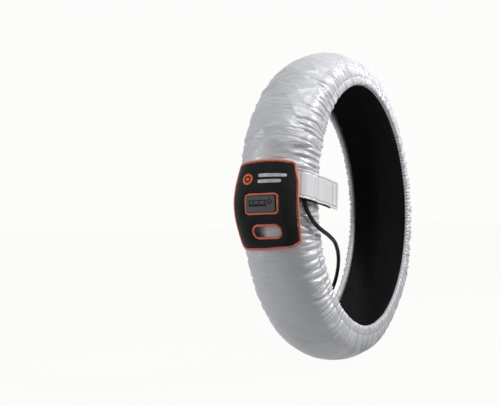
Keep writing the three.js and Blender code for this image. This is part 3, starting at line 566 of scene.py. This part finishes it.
def hem_rows(side):
    """The edge that is turned in round the elastic, with a tuck and a pointed corner on the near side."""
    scallop = 0.0017 * ruffle + 0.0006 * around(46, 91)
    if side < 0:
        corner = 0.0055 * np.exp(-np.abs(degrees - 13.2) / 1.6)
        tuck = 0.0035 * np.exp(-((degrees - 43.5) / 0.9) ** 2)
        scallop = scallop + corner - tuck
    out = []
    for past_hem, y in (
        (-0.0009, 0.0692), (-0.0012, 0.0675), (-0.0008, 0.0650), (0.0006, 0.0628),
        (0.0045, 0.0622), (0.0105, 0.0632), (0.0125, 0.0655), (0.0150, 0.0672),
    ):
        fade = 1 - float(smooth(0, 0.006, past_hem))
        out.append((HEM + past_hem - scallop * fade, np.full_like(u01, side * y)))
    return out


def cover_rows():
    """Radius and y of each row of the cover, from the near hem to the far one."""
    spread = np.linspace(-1, 1, 47)
    by_seams = [side * share for side in (-1, 1) for share in (0.9, HEM_SEAM, 0.87)]
    shares = [round(float(s), 4) for s in np.sign(spread) * np.abs(spread) ** 0.9]
    shares = [s for s in shares if all(abs(s - e) > 0.008 for e in by_seams)] + by_seams
    rows = [raised(s, np.maximum(cover_rise(s), -0.0008))[:2] for s in sorted(set(shares))]
    return hem_rows(-1)[::-1] + rows + hem_rows(1)


def make_cover():
    """The whole cover as one cloth, and the length of its section laid flat."""
    rows = cover_rows()
    middles = [(float(np.mean(r)), float(np.mean(y))) for r, y in rows]
    steps_ = [math.dist(a, b) for a, b in zip(middles, middles[1:])]
    flat_rows = np.concatenate([[0.0], np.cumsum(steps_)])
    verts = np.concatenate([np.stack([-r * np.cos(turns), y, r * np.sin(turns)], 1) for r, y in rows])
    verts[:, 2] = np.maximum(verts[:, 2], FLOOR - 0.0004)
    wide = STATIONS + 1
    faces = [
        (j * wide + k, j * wide + k + 1, (j + 1) * wide + k + 1, (j + 1) * wide + k)
        for j in range(len(rows) - 1) for k in range(STATIONS)
    ]
    obj = mesh_object("warmer_cover", verts, faces)
    layer = obj.data.uv_layers.new(name="UVMap")
    index = np.empty(len(obj.data.loops), dtype=np.int32)
    obj.data.loops.foreach_get("vertex_index", index)
    uv = np.stack([(index % wide) / STATIONS * 2 * math.pi * 0.29, flat_rows[index // wide]], 1)
    layer.data.foreach_set("uv", uv.astype(np.float32).ravel())
    dress(obj, silver, ["outer_cover", "cover_side_near", "cover_side_far"])
    return obj, float(flat_rows[-1])


cover, length = make_cover()


# The lining, seen inside the ring
def strip(name, outline, stations, material, replaces, wobble=0.0):
    """A closed section of (radius, y, softness) swept round the ring, open at the join."""
    angles = JOIN + np.clip(2 * np.pi * np.arange(stations + 1) / stations, SLIT, 2 * np.pi - SLIT)
    share = (angles - JOIN) / (2 * np.pi)
    points = []
    for radius, y, soft in outline:
        r = radius + wobble * soft * lattice(share, np.full_like(angles, y * 1000), 60, 25.0, 101)
        points.append(np.stack([-r * np.cos(angles), np.full_like(angles, y), r * np.sin(angles)], 1))
    count, rows = stations + 1, len(outline)
    quads = []
    for j in range(rows):
        here, ahead = j * count, (j + 1) % rows * count
        quads += [(here + k, here + k + 1, ahead + k + 1, ahead + k) for k in range(stations)]
    quads.append(tuple(j * count for j in range(rows)))
    quads.append(tuple(j * count + stations for j in reversed(range(rows))))
    return dress(closed(name, np.concatenate(points), quads), material, replaces)


PAD, BAND, WIRE = 0.005, 0.001, 0.0012
insulation = COVER + GAP
lining_depth = insulation + PAD + GAP + BAND + GAP + WIRE + GAP
inner_shares = np.linspace(-1, 1, 41)
outer_line, inner_line = [], []
for s in inner_shares:
    reach = abs(float(s))
    share = math.copysign(reach * 0.87, s)
    depth = lining_depth + (insulation - lining_depth) * float(smooth(0.66, 1.0, reach)) + 0.0028
    outer_line.append((*section(share, depth), 0.0))
    quilt = 0.0006 * (0.5 - 0.5 * math.cos(2 * math.pi * s * 4)) if reach < 0.7 else 0
    inner_line.append((*section(share, depth + 0.001 + quilt), 1.0))
lining = strip(
    "heat_lining", outer_line + inner_line[::-1], 360, lining_black, ["inner_lining"], 0.0005,
)


# Stitches
def stitches(name, lines, material, length=0.0030, gap=0.0014, radius=0.00032):
    """Short raised threads along lines of (point, normal), as one mesh."""
    verts, faces = [], []
    for line in lines:
        pts = [Vector(p) for p, _ in line]
        nrm = [Vector(n).normalized() for _, n in line]
        run = [0.0]
        for a, b in zip(pts, pts[1:]):
            run.append(run[-1] + (b - a).length)

        def at(distance):
            k = int(np.searchsorted(run, distance, side="right")) - 1
            k = min(max(k, 0), len(pts) - 2)
            t = (distance - run[k]) / max(run[k + 1] - run[k], 1e-9)
            return pts[k].lerp(pts[k + 1], t), nrm[k].lerp(nrm[k + 1], t).normalized()

        count = max(1, int(run[-1] / (length + gap)))
        pitch = run[-1] / count
        for s in range(count):
            first = len(verts)
            for share, swell in ((0, 0.3), (0.15, 0.9), (0.5, 1.1), (0.85, 0.9), (1, 0.3)):
                p, n = at(s * pitch + share * length)
                ahead, _ = at(s * pitch + share * length + 1e-4)
                if (ahead - p).length > 1e-9:
                    along = (ahead - p).normalized()
                side = along.cross(n).normalized()
                middle = p + n * (radius * (0.55 if 0 < share < 1 else -0.6))
                wide, high = radius * swell * 1.2, radius * swell
                for a in (0.0, 1.2566, 2.5133, 3.7699, 5.0265):
                    verts.append(middle + side * (wide * math.cos(a)) + n * (high * math.sin(a)))
            faces += tube_faces(5, 5, first, caps=True)
    return dress(closed(name, verts, faces), material)


def hem_stitch(side):
    """The stitched line that closes the elastic's channel."""
    share = HEM_SEAM * side
    line = []
    for a, rise in zip(turns, np.maximum(cover_rise(share), -0.0008)):
        r, y, nr, ny = raised(share, float(rise) + 0.0001)
        line.append((ring(float(a), r, y), ring(float(a), nr, ny)))
    return stitches(f"hem_stitch_{'near' if side < 0 else 'far'}", [line], thread_grey)


hem_stitch(-1)
hem_stitch(1)

# The strap and its tapes
STRAP_HALF, STRAP_SKIN = 0.025, 0.0006
ON_COVER = GAP + STRAP_SKIN
SEAT = 0.0009 + 0.001 + 0.0012 + STRAP_SKIN
FREE, STAND = 0.036, 0.0235
strap_path = [section(0.6, -ON_COVER), section(0.47, -ON_COVER - 0.0006), section(0.27, -ON_COVER - 0.0016)]
strap_path += [section(s, -SEAT - rise / 1000) for s, rise in (
    (0, 0), (-0.16, 0.1), (-0.27, 0.3), (-0.38, 1.8), (-0.47, 4.4),
    (-0.58, 8.8), (-0.68, 10), (-0.82, 8.8), (-1, 9),
)]
strap_path += [(HEM - 0.47 * FREE, -(HALF + 0.78 * STAND)), (HEM - FREE, -(HALF + STAND))]


def along_path(path, t):
    """A point and a direction on a smooth line through the path's points."""
    def value(s):
        s = min(max(s, 0.0), 1.0) * (len(path) - 1)
        i = min(int(s), len(path) - 1)
        w = s - i
        p0, p1 = path[max(i - 1, 0)], path[i]
        p2, p3 = path[min(i + 1, len(path) - 1)], path[min(i + 2, len(path) - 1)]
        out = []
        for a, b, c, d in zip(p0, p1, p2, p3):
            v0, v1 = (c - a) / 2, (d - b) / 2
            cubic, square = 2 * b - 2 * c + v0 + v1, 3 * c - 3 * b - 2 * v0 - v1
            out.append(cubic * w ** 3 + square * w * w + v0 * w + b)
        return np.array(out)
    here = value(t)
    ahead, behind = value(t + 1e-3), value(t - 1e-3)
    tangent = (ahead - behind) / np.linalg.norm(ahead - behind)
    return here, np.array([-tangent[1], tangent[0]])


def sag(y):
    past = max(0.0, -y - 0.056) / (STAND + 0.014)
    return 0.012 * past * past


def strap_point(path, t, z, offset):
    """offset is outward from the path, away from the cover."""
    here, away = along_path(path, t)
    r, y = here[0] + away[0] * offset, here[1] + away[1] * offset
    point = closure @ Vector((r, y, z + sag(y)))
    normal = closure.to_3x3() @ Vector((away[0], away[1], 0))
    return point, normal


def gauss(x, centre, width):
    return math.exp(-((x - centre) / width) ** 2)


def strap_relief(t, z):
    """The strap's sewn surface: channels at the stitching, a doubled end, soft waves, in metres."""
    edge = 0.025 - abs(z)
    relief = -0.0006 * gauss(edge, 0.0042, 0.0009)
    relief -= 0.0005 * (gauss(t, 0.608, 0.005) + gauss(t, 0.937, 0.006))
    relief += 0.0013 * gauss(t, 0.770, 0.010) - 0.0008 * gauss(t, 0.792, 0.009)
    relief += 0.0007 * float(smooth(0.745, 0.765, t))
    relief += 0.00025 * math.sin(t * 95 + z * 60) * float(smooth(0.6, 0.68, t)) * math.cos(z * 62) ** 2
    relief += 0.0002 * math.sin(z * 420 + t * 21) * float(smooth(0.9, 0.97, t))
    return relief


def grid_slab(name, across, along, surface):
    """A closed band: surface(t, w, side) gives its points, t from 0 to 1 and w from -1 to 1."""
    verts = [
        surface(i / along, 2 * j / across - 1, side)
        for side in (1, -1) for i in range(along + 1) for j in range(across + 1)
    ]
    return closed(name, verts, slab_faces(along, across))


def make_strap():
    def surface(t, w, side):
        z = STRAP_HALF * w
        fall = 0.0004 * math.sin(t * 40 + 1) * abs(w) ** 3
        offset = side * STRAP_SKIN
        if side > 0:
            offset += strap_relief(t, z) * min(1, 12 * (1 - abs(w)) + 0.25)
        return strap_point(strap_path, t, z + fall, offset)[0]
    return dress(grid_slab("closure_band", 60, 260, surface), strap_silver, ["closure_strap"])


strap = make_strap()
bend = strap.data.uv_layers.new(name="UVMap")
place_of = [closure.inverted() @ v.co for v in strap.data.vertices]
for loop in strap.data.loops:
    p = place_of[loop.vertex_index]
    bend.data[loop.index].uv = (p.y + (CROWN - p.x), p.z)


def strap_line(ts, zs):
    """A line on the strap's face, as points and normals."""
    line = []
    for t, z in zip(ts, zs):
        t, z = float(t), float(z)
        line.append(strap_point(strap_path, t, z, STRAP_SKIN + strap_relief(t, z)))
    return line


seams = [strap_line(np.linspace(0.40, 0.975, 60), [z] * 60) for z in (-0.0208, 0.0208)]
seams += [strap_line([t] * 30, np.linspace(-0.0205, 0.0205, 30)) for t in (0.608, 0.787, 0.937, 0.975)]
strap_threads = stitches("strap_stitch", seams, thread_grey, radius=0.00038)


def make_hook():
    """The hook tape under the strap, with a row of hooks as a rough edge."""
    low, high = 0.24, 0.93
    def surface(t, w, side):
        s = low + (high - low) * t
        rough = 0.00018 * math.sin(900 * t) * math.sin(700 * w * 0.023) if side < 0 else 0
        return strap_point(strap_path, s, 0.0050 + 0.023 * w, -0.0015 + side * 0.00055 + rough)[0]
    return dress(grid_slab("hook_band", 40, 200, surface), tape_black, ["hook_tape"])


hook = make_hook()


def make_loop():
    path = [section(s, -0.0008) for s in (0.02, -0.06, -0.13, -0.2, -0.27, -0.34)]
    def surface(t, w, side):
        return strap_point(path, t * 0.89, 0.022 * w, side * 0.00045)[0]
    return dress(grid_slab("loop_band", 30, 60, surface), tape_black, ["loop_tape"])


loop_band = make_loop()


def make_boot():
    """The strain relief on the cover's side: a sewn plate and a tapered ribbed sleeve."""
    rows, sides, cells = 73, 28, 14
    mouth, length_ = 0.016, 0.024
    seat_r, seat_y = section(-0.67, -0.0056)
    verts = []
    for k in range(rows):
        t = k / (rows - 1)
        radius = 0.00485 - 0.0007 * t
        if 0.15 < t < 0.85:
            radius -= 0.0005 * (0.5 - 0.5 * math.cos(2 * math.pi * (t - 0.15) / 0.14))
        if t < 0.06:
            radius -= 0.0008 * (1 - t / 0.06) ** 2
        z = mouth - length_ + length_ * t
        for s in range(sides):
            a = 2 * math.pi * s / sides
            verts.append(closure @ Vector((seat_r + radius * math.cos(a), seat_y + radius * math.sin(a), z)))
    faces = tube_faces(rows, sides, caps=True) + slab_faces(cells, cells, len(verts))
    along = (Vector(section(-0.68)) - Vector(section(-0.66))).normalized()
    base = Vector(section(-0.67, -0.0012))
    out = (Vector(section(-0.67, -0.0022)) - base).normalized()
    for side in (0, 1):
        for i in range(cells + 1):
            for j in range(cells + 1):
                su, sv = squared(2 * i / cells - 1, 0.8), squared(2 * j / cells - 1, 0.8)
                round_ = max(abs(su), abs(sv)) ** 6
                thick = (0.0007 * (1 - 0.8 * round_)) if side else -0.0006
                p = base + along * (su * 0.008) + out * thick
                verts.append(closure @ Vector((p.x, p.y, mouth - length_ * 0.7 + sv * 0.009)))
    return dress(closed("cable_sleeve", verts, faces), rubber, ["cable_boot"])


make_boot()

# The padded panel
LEFT, RIGHT, BOTTOM, TOP = -0.054, 0.060, -0.077, 0.077
LOW_CORNER, HIGH_CORNER = 0.015, 0.003
THICK = 0.007
PIPE = 0.002
PIPE_GAP = PIPE + GAP
WINDOW = ((0.003, 0.003), 0.066, 0.038, 0.008)
HAND = ((0.008, -0.045), 0.058, 0.027, 0.013)


def panel_face(x, y):
    middle, half = (LEFT + RIGHT) / 2, (RIGHT - LEFT) / 2
    above = y - WINDOW[0][1]
    foot = 0.0124 if above > 0 else 0.011
    reach = TOP - WINDOW[0][1] if above > 0 else WINDOW[0][1] - BOTTOM
    lift = foot + (0.020 - foot) * (0.5 + 0.5 * math.cos(math.pi * above / reach))
    across = (x - middle) / half
    share = (above / reach) ** 2
    left = 0.011 * (1 - share) + 0.023 * share
    end = 0.013 if above > 0 else 0.009
    right_ = 0.018 * (1 - share) + end * share
    return math.sqrt(CROWN ** 2 - y * y) + lift - (left if across < 0 else right_) * abs(across) ** 4


def rounded(left, right_, bottom, top, low, high, arc=10, step=0.003):
    """A closed loop of points, with two corner radii."""
    low, high = max(low, 0.0002), max(high, 0.0002)
    corners = [
        (right_ - low, bottom + low, low, -90), (right_ - high, top - high, high, 0),
        (left + high, top - high, high, 90), (left + low, bottom + low, low, 180),
    ]
    loop = []
    for cx, cy, radius, start in corners:
        for k in range(arc + 1):
            a = math.radians(start + 90 * k / arc)
            loop.append((cx + radius * math.cos(a), cy + radius * math.sin(a)))
    out = []
    for a, b in zip(loop, loop[1:] + loop[:1]):
        gap = math.hypot(b[0] - a[0], b[1] - a[1])
        pieces = max(1, int(gap / step))
        for k in range(pieces):
            out.append((a[0] + (b[0] - a[0]) * k / pieces, a[1] + (b[1] - a[1]) * k / pieces))
    return out


def outline_loop(inset):
    return rounded(
        LEFT + inset, RIGHT - inset, BOTTOM + inset, TOP - inset,
        LOW_CORNER - inset, HIGH_CORNER - min(inset, 0.0025),
    )


def hole_loop(hole, outset, *fineness):
    (cx, cy), w, h, radius = hole
    return rounded(
        cx - w / 2 - outset, cx + w / 2 + outset, cy - h / 2 - outset, cy + h / 2 + outset,
        radius + outset, radius + outset, *fineness,
    )


def box_distance(x, y, hole=None):
    """Distance to the panel's outline (inside) or to a hole (outside it)."""
    if hole is None:
        return min(x - LEFT, RIGHT - x, y - BOTTOM, TOP - y)
    (cx, cy), w, h, radius = hole
    dx, dy = abs(x - cx) - (w / 2 - radius), abs(y - cy) - (h / 2 - radius)
    return math.hypot(max(dx, 0), max(dy, 0)) + min(max(dx, dy), 0) - radius


def edge_distance(x, y):
    """Distance to the nearest edge of the panel."""
    return min(box_distance(x, y), box_distance(x, y, WINDOW), box_distance(x, y, HAND))


def inside_loop(x, y, loop):
    hit = False
    for (ax, ay), (bx, by) in zip(loop, loop[1:] + loop[:1]):
        if (ay > y) != (by > y) and x < (bx - ax) * (y - ay) / (by - ay) + ax:
            hit = not hit
    return hit


def sheet_mesh(loops_at, holes_at, insets, spacing):
    """Points and triangles of a flat region with rows along its edges."""
    points, depth, edges = [], [], []
    for inset in insets:
        for make in [loops_at] + holes_at:
            loop = make(inset)
            start = len(points)
            points += loop
            depth += [inset] * len(loop)
            if inset == 0:
                edges += [(start + k, start + (k + 1) % len(loop)) for k in range(len(loop))]
    outer = loops_at(insets[-1] + spacing * 0.6)
    inner = [make(insets[-1] + spacing * 0.6) for make in holes_at]
    xs = [p[0] for p in outer]
    ys = [p[1] for p in outer]
    nx, ny = int((max(xs) - min(xs)) / spacing), int((max(ys) - min(ys)) / spacing)
    for i in range(nx + 1):
        for j in range(ny + 1):
            x = min(xs) + (max(xs) - min(xs)) * i / nx
            y = min(ys) + (max(ys) - min(ys)) * j / ny
            if inside_loop(x, y, outer) and not any(inside_loop(x, y, loop) for loop in inner):
                points.append((x, y))
                depth.append(1.0)
    flat, _, tris, _, _, _ = delaunay_2d_cdt([Vector(p) for p in points], edges, [], 1, 1e-7)
    flat = [tuple(p) for p in flat]
    holes_ = [make(0) for make in holes_at]
    keep = []
    for tri in tris:
        cx = sum(flat[k][0] for k in tri) / 3
        cy = sum(flat[k][1] for k in tri) / 3
        if not any(inside_loop(cx, cy, loop) for loop in holes_):
            keep.append(tuple(tri))
    return flat, keep


def panel_puff(x, y):
    """Padding that swells between the seams, and soft pulls near the piping."""
    edge = edge_distance(x, y)
    swell = 0.0011 * float(smooth(0.0, 0.012, edge))
    seam = -0.0009 * math.exp(-((edge - 0.0042) / 0.0012) ** 2)
    wave = 0.0007 * math.sin(x * 78 + 1.2) * math.sin(y * 55 + 0.4) + 0.0004 * math.sin(y * 140 + x * 60)
    pull = 0.00022 * math.sin((x + y) * 620) * math.exp(-edge / 0.006)
    return swell + seam + wave * float(smooth(0.002, 0.014, edge)) + pull


def settle(x, y):
    """Where a point of the flat panel comes to lie once its corners have pulled in and down."""
    top = float(smooth(0.030, 0.077, y))
    low = float(smooth(0.060, 0.077, -y))
    across = ((x - 0.003) / 0.057) ** 2
    y_ = y - top * (0.001 + 0.0055 * across) + low * (0.004 + 0.004 * max(x, 0) / 0.06)
    return x - 0.005 * top * float(smooth(0.03, 0.06, x)), y_


def on_panel(x, y, height):
    """The place of a point of the panel, at a height over its plain face."""
    x_, y_ = settle(x, y)
    return front @ Vector((x_, y_, panel_face(x_, y_) + height))


def make_panel():
    half = THICK / 2
    insets = [0, 0.0003, 0.0009, 0.0018, 0.0030, 0.0044, 0.0058]
    holes_at = [lambda d: hole_loop(WINDOW, d), lambda d: hole_loop(HAND, d)]
    flat, tris = sheet_mesh(outline_loop, holes_at, insets, 0.0024)
    verts, fronts, backs = [], [], []
    for x, y in flat:
        edge = max(0.0, edge_distance(x, y))
        cy = BOTTOM + LOW_CORNER
        for cx, way in ((RIGHT - LOW_CORNER, 1), (LEFT + LOW_CORNER, -1)):
            if (x - cx) * way > 0 and y < cy:
                edge = min(edge, max(0.0, LOW_CORNER - math.hypot(x - cx, y - cy)))
        round_ = math.sqrt(max(0.0, 1 - (1 - min(edge / half, 1)) ** 2))
        fronts.append(len(verts))
        if edge < 1e-6:
            backs.append(len(verts))
            verts.append(on_panel(x, y, -half))
        else:
            verts.append(on_panel(x, y, -half + half * round_ + panel_puff(x, y) * min(1, edge / 0.003)))
            backs.append(len(verts))
            verts.append(on_panel(x, y, -half - half * round_ * 0.98))
    faces = [tuple(fronts[k] for k in tri) for tri in tris]
    faces += [tuple(backs[k] for k in reversed(tri)) for tri in tris]
    return dress(closed("padded_panel", verts, faces), panel_black, ["control_panel"])


panel = make_panel()


def piping(name, loop, replaces, radius=PIPE):
    """A round bound edge that follows a loop at the middle of the panel's thickness."""
    count = len(loop)
    settled = [settle(x, y) for x, y in loop]
    path = [Vector((x, y, panel_face(x, y) - THICK / 2 + 0.0006)) for x, y in settled]
    sides = 12
    verts = []
    for k, p in enumerate(path):
        along = (path[(k + 1) % count] - path[k - 1]).normalized()
        across = Vector((along.y, -along.x, 0)).normalized()
        lift = across.cross(along).normalized()
        swell = radius * (1 + 0.05 * math.sin(k * 1.7) + 0.04 * math.sin(k * 0.37))
        for s in range(sides):
            a = 2 * math.pi * s / sides
            verts.append(front @ (p + across * (swell * math.cos(a)) + lift * (swell * 1.15 * math.sin(a))))
    faces = tube_faces(count, sides, loop=True)
    return dress(closed(name, verts, faces), orange, [replaces])


edge_loop = rounded(
    LEFT - PIPE_GAP, RIGHT + PIPE_GAP, BOTTOM - PIPE_GAP, TOP + PIPE_GAP,
    LOW_CORNER + PIPE_GAP, HIGH_CORNER + PIPE_GAP, 12, 0.002,
)
piping("edge_binding", edge_loop, "panel_piping", 0.0022)
piping("window_binding", hole_loop(WINDOW, -PIPE_GAP, 12, 0.002), "window_piping")
piping("hand_binding", hole_loop(HAND, -PIPE_GAP, 12, 0.002), "hand_hole_piping")


def panel_line(loop):
    """A line on the panel's face, as points and the normals of its plain form."""
    step = 0.001
    line = []
    for x, y in loop + loop[:1]:
        here = panel_face(x, y)
        slope_x = (panel_face(x + step, y) - here) / step
        slope_y = (panel_face(x, y + step) - here) / step
        normal = Vector((-slope_x, -slope_y, 1)).normalized()
        line.append((on_panel(x, y, panel_puff(x, y)), front.to_3x3() @ normal))
    return line


sewn = [outline_loop(0.0044), hole_loop(WINDOW, 0.0040), hole_loop(HAND, 0.0040)]
stitches("panel_stitch", [panel_line(loop) for loop in sewn], thread_black)


# The plain print over the window
def print_patch(name, loop, holes_, material):
    """A thin printed shape that lies on the panel."""
    def outer(d):
        cx = sum(p[0] for p in loop) / len(loop)
        cy = sum(p[1] for p in loop) / len(loop)
        return [(cx + (x - cx) * (1 - d * 60), cy + (y - cy) * (1 - d * 60)) for x, y in loop]
    flat, tris = sheet_mesh(outer, [(lambda d, h=h: h) for h in holes_], [0, 0.001], 0.0016)
    used = sorted({k for tri in tris for k in tri})
    index_of = {k: n for n, k in enumerate(used)}
    verts = []
    for z_off in (0.00035, -0.0006):
        for k in used:
            x, y = flat[k]
            verts.append(on_panel(x, y, panel_puff(x, y) + z_off))
    size = len(used)
    tops = [tuple(index_of[k] for k in tri) for tri in tris]
    faces = tops + [tuple(k + size for k in reversed(tri)) for tri in tops]
    borders = {}
    for tri in tops:
        for a, b in ((tri[0], tri[1]), (tri[1], tri[2]), (tri[2], tri[0])):
            if (b, a) in borders:
                del borders[(b, a)]
            else:
                borders[(a, b)] = True
    faces += [(a, a + size, b + size, b) for a, b in borders]
    return dress(closed(name, verts, faces, smooth_shade=False), material)


def disc(cx, cy, radius, count=40):
    angles = [2 * math.pi * k / count for k in range(count)]
    return [(cx + radius * math.cos(a), cy + radius * math.sin(a)) for a in angles]


def bar(x, y, w, h):
    return rounded(x, x + w, y, y + h, h * 0.45, h * 0.45, 5, 0.002)


MARK = (-0.0255, 0.0475)
BARS_LEFT, BAR_HIGH = -0.0045, 0.0062
print_patch("print_ring", disc(*MARK, 0.0105), [disc(*MARK, 0.0062, 30)], orange_print)
print_patch("print_dot", disc(*MARK, 0.0034, 24), [], orange_print)
for number, bottom, width in ((1, 0.0500, 0.054), (2, 0.0392, 0.044)):
    shape = bar(BARS_LEFT, bottom, width, BAR_HIGH)
    print_patch(f"print_bar_{number}", shape, [], pale_print)


def plate(name, loop, back_z, face_z, material):
    """A thin flat shape in the slot, between two distances from the axle."""
    verts = [front @ Vector((x, y, z)) for z in (back_z, face_z) for x, y in loop]
    faces = tube_faces(2, len(loop), caps=True)
    return dress(closed(name, verts, faces, smooth_shade=False), material)


def make_button_ring():
    """The dark line round the button's face, which travels with the button."""
    low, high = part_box("push_button")
    centre = Vector((low[0], (low[1] + high[1]) / 2, (low[2] + high[2]) / 2))
    sides, cells = 40, 8
    verts = []
    for k in range(sides):
        a = 2 * math.pi * k / sides
        for q in range(cells):
            b = 2 * math.pi * q / cells
            radius = 0.0033 + 0.00045 * math.cos(b)
            verts.append(centre + Vector((0.0001 * math.sin(b), radius * math.cos(a), radius * math.sin(a))))
    obj = closed("button_ring", verts, tube_faces(sides, cells, loop=True))
    obj.data.materials.append(dark_plastic)
    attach(obj, "button")


# The pale bar behind the lamps' tips, and the dark spot round each tip
BAR_BACK, BAR_FACE, SPOT_BACK, SPOT_FACE = 0.3274, 0.32768, 0.3276, 0.32776
plate("lens_bar", rounded(-0.0190, 0.0128, 0.0030, 0.0082, 0.0008, 0.0008, 4), BAR_BACK, BAR_FACE, lens_grey)
for number, lamp_x in enumerate((-0.0121, -0.0011, 0.0099)):
    spot = disc(lamp_x, 0.0056, 0.0017, 24)
    plate(f"lens_dot_{number + 1}", spot, SPOT_BACK, SPOT_FACE, dark_plastic)
make_button_ring()

# Carried-over pieces
for look, names in (
    (grey_plastic, ["controller_front_shell", "controller_back_shell", "push_button"]),
    (dark_plastic, ["indicator_lamp_1", "indicator_lamp_2", "indicator_lamp_3", "heat_cutout"]),
    (lens_plastic, ["indicator_lens"]),
    (board_green, ["circuit_board"]),
    (rubber, ["wire_grommet"]),
    (screw_metal, ["shell_screw_1", "shell_screw_2", "shell_screw_3", "shell_screw_4"]),
    (felt, ["insulation_pad"]),
    (band_cloth, ["heating_band"]),
    (wire_rubber, ["heating_wire"]),
    (white_elastic, ["hem_elastic_near", "hem_elastic_far"]),
    (panel_black, ["controller_pocket"]),
):
    for name in names:
        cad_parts[name].data.materials[0] = look

for name in ("controller_front_shell", "controller_back_shell", "push_button", "indicator_lens"):
    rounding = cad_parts[name].modifiers.new("soft edges", "BEVEL")
    rounding.width = 0.0004
    rounding.segments = 2
    rounding.limit_method = "ANGLE"
    rounding.angle_limit = math.radians(40)


# Floor, backdrop and light
def source(tree, kind, colour, strength=None):
    """A shader node of one colour, with its strength if it glows."""
    node = tree.nodes.new(kind)
    node.inputs["Color"].default_value = (*colour, 1)
    if strength is not None:
        node.inputs["Strength"].default_value = strength
    return node


def seen_rays(tree):
    """1 for rays that come from the camera, a reflection or a clear piece, and 0 for light."""
    path = tree.nodes.new("ShaderNodeLightPath")
    seen = combine(tree, "MAXIMUM", path.outputs["Is Camera Ray"], path.outputs["Is Glossy Ray"])
    return combine(tree, "MAXIMUM", seen, path.outputs["Is Transmission Ray"])


def blend(tree, share, unseen, seen, out):
    mix = tree.nodes.new("ShaderNodeMixShader")
    tree.links.new(share, mix.inputs["Fac"])
    tree.links.new(unseen.outputs[0], mix.inputs[1])
    tree.links.new(seen.outputs[0], mix.inputs[2])
    tree.links.new(mix.outputs[0], out.inputs["Surface"])


def pale(name, lit):
    """White to the camera and in reflections, and a plain grey-white for the light it returns."""
    material = bpy.data.materials.new(name)
    material.use_nodes = True
    tree = material.node_tree
    tree.nodes.clear()
    out = tree.nodes.new("ShaderNodeOutputMaterial")
    glow = source(tree, "ShaderNodeEmission", (1.0, 1.0, 0.99), 1.0)
    matte = source(tree, "ShaderNodeBsdfDiffuse", (0.35, 0.35, 0.35))
    blend(tree, combine(tree, "MULTIPLY", seen_rays(tree), lit), matte, glow, out)
    return material


FLOOR_HALF = 60
ways = ((-1, -1), (1, -1), (1, 1), (-1, 1))
corners = [(FLOOR_HALF * x, FLOOR_HALF * y, FLOOR - 0.0005) for x, y in ways]
floor = mesh_object("floor", corners, [(0, 1, 2, 3)], smooth_shade=False)
floor.data.materials.append(pale("pale_floor", 0.96))

world = bpy.data.worlds.new("studio")
bpy.context.scene.world = world
world.use_nodes = True
sky = world.node_tree
sky.nodes.clear()
seen_sky = source(sky, "ShaderNodeBackground", (0.975, 0.975, 0.965), 1.0)
soft_sky = source(sky, "ShaderNodeBackground", (0.94, 0.97, 1.0), 0.09)
blend(sky, seen_rays(sky), soft_sky, seen_sky, sky.nodes.new("ShaderNodeOutputWorld"))


def lamp(name, place_, target, size, power, colour=(1, 1, 1)):
    data = bpy.data.lights.new(name, "AREA")
    data.shape = "RECTANGLE"
    data.size, data.size_y = size
    data.energy = power
    data.color = colour
    obj = link(bpy.data.objects.new(name, data))
    obj.location = place_
    obj.rotation_euler = (Vector(target) - Vector(place_)).to_track_quat("-Z", "Y").to_euler()


def from_camera(across, height, towards):
    return level * across + Vector((0, 0, height)) + Vector((back.x, back.y, 0)).normalized() * towards


lamp("key", from_camera(1.5, 1.2, 0.4), (0, 0, -0.1), (0.4, 0.6), 26, (1.0, 0.99, 0.98))
lamp("fill", from_camera(-1.6, 0.0, 0.7), (0, 0, -0.1), (0.3, 1.6), 13, (0.95, 0.98, 1.0))
lamp("top", from_camera(0.4, 1.7, 0.8), (0, 0, -0.1), (0.5, 0.5), 9)
lamp("back_light", from_camera(0.8, 0.7, -1.5), (0, 0, 0), (1.0, 1.0), 5)

bpy.context.scene.view_settings.view_transform = "Standard"
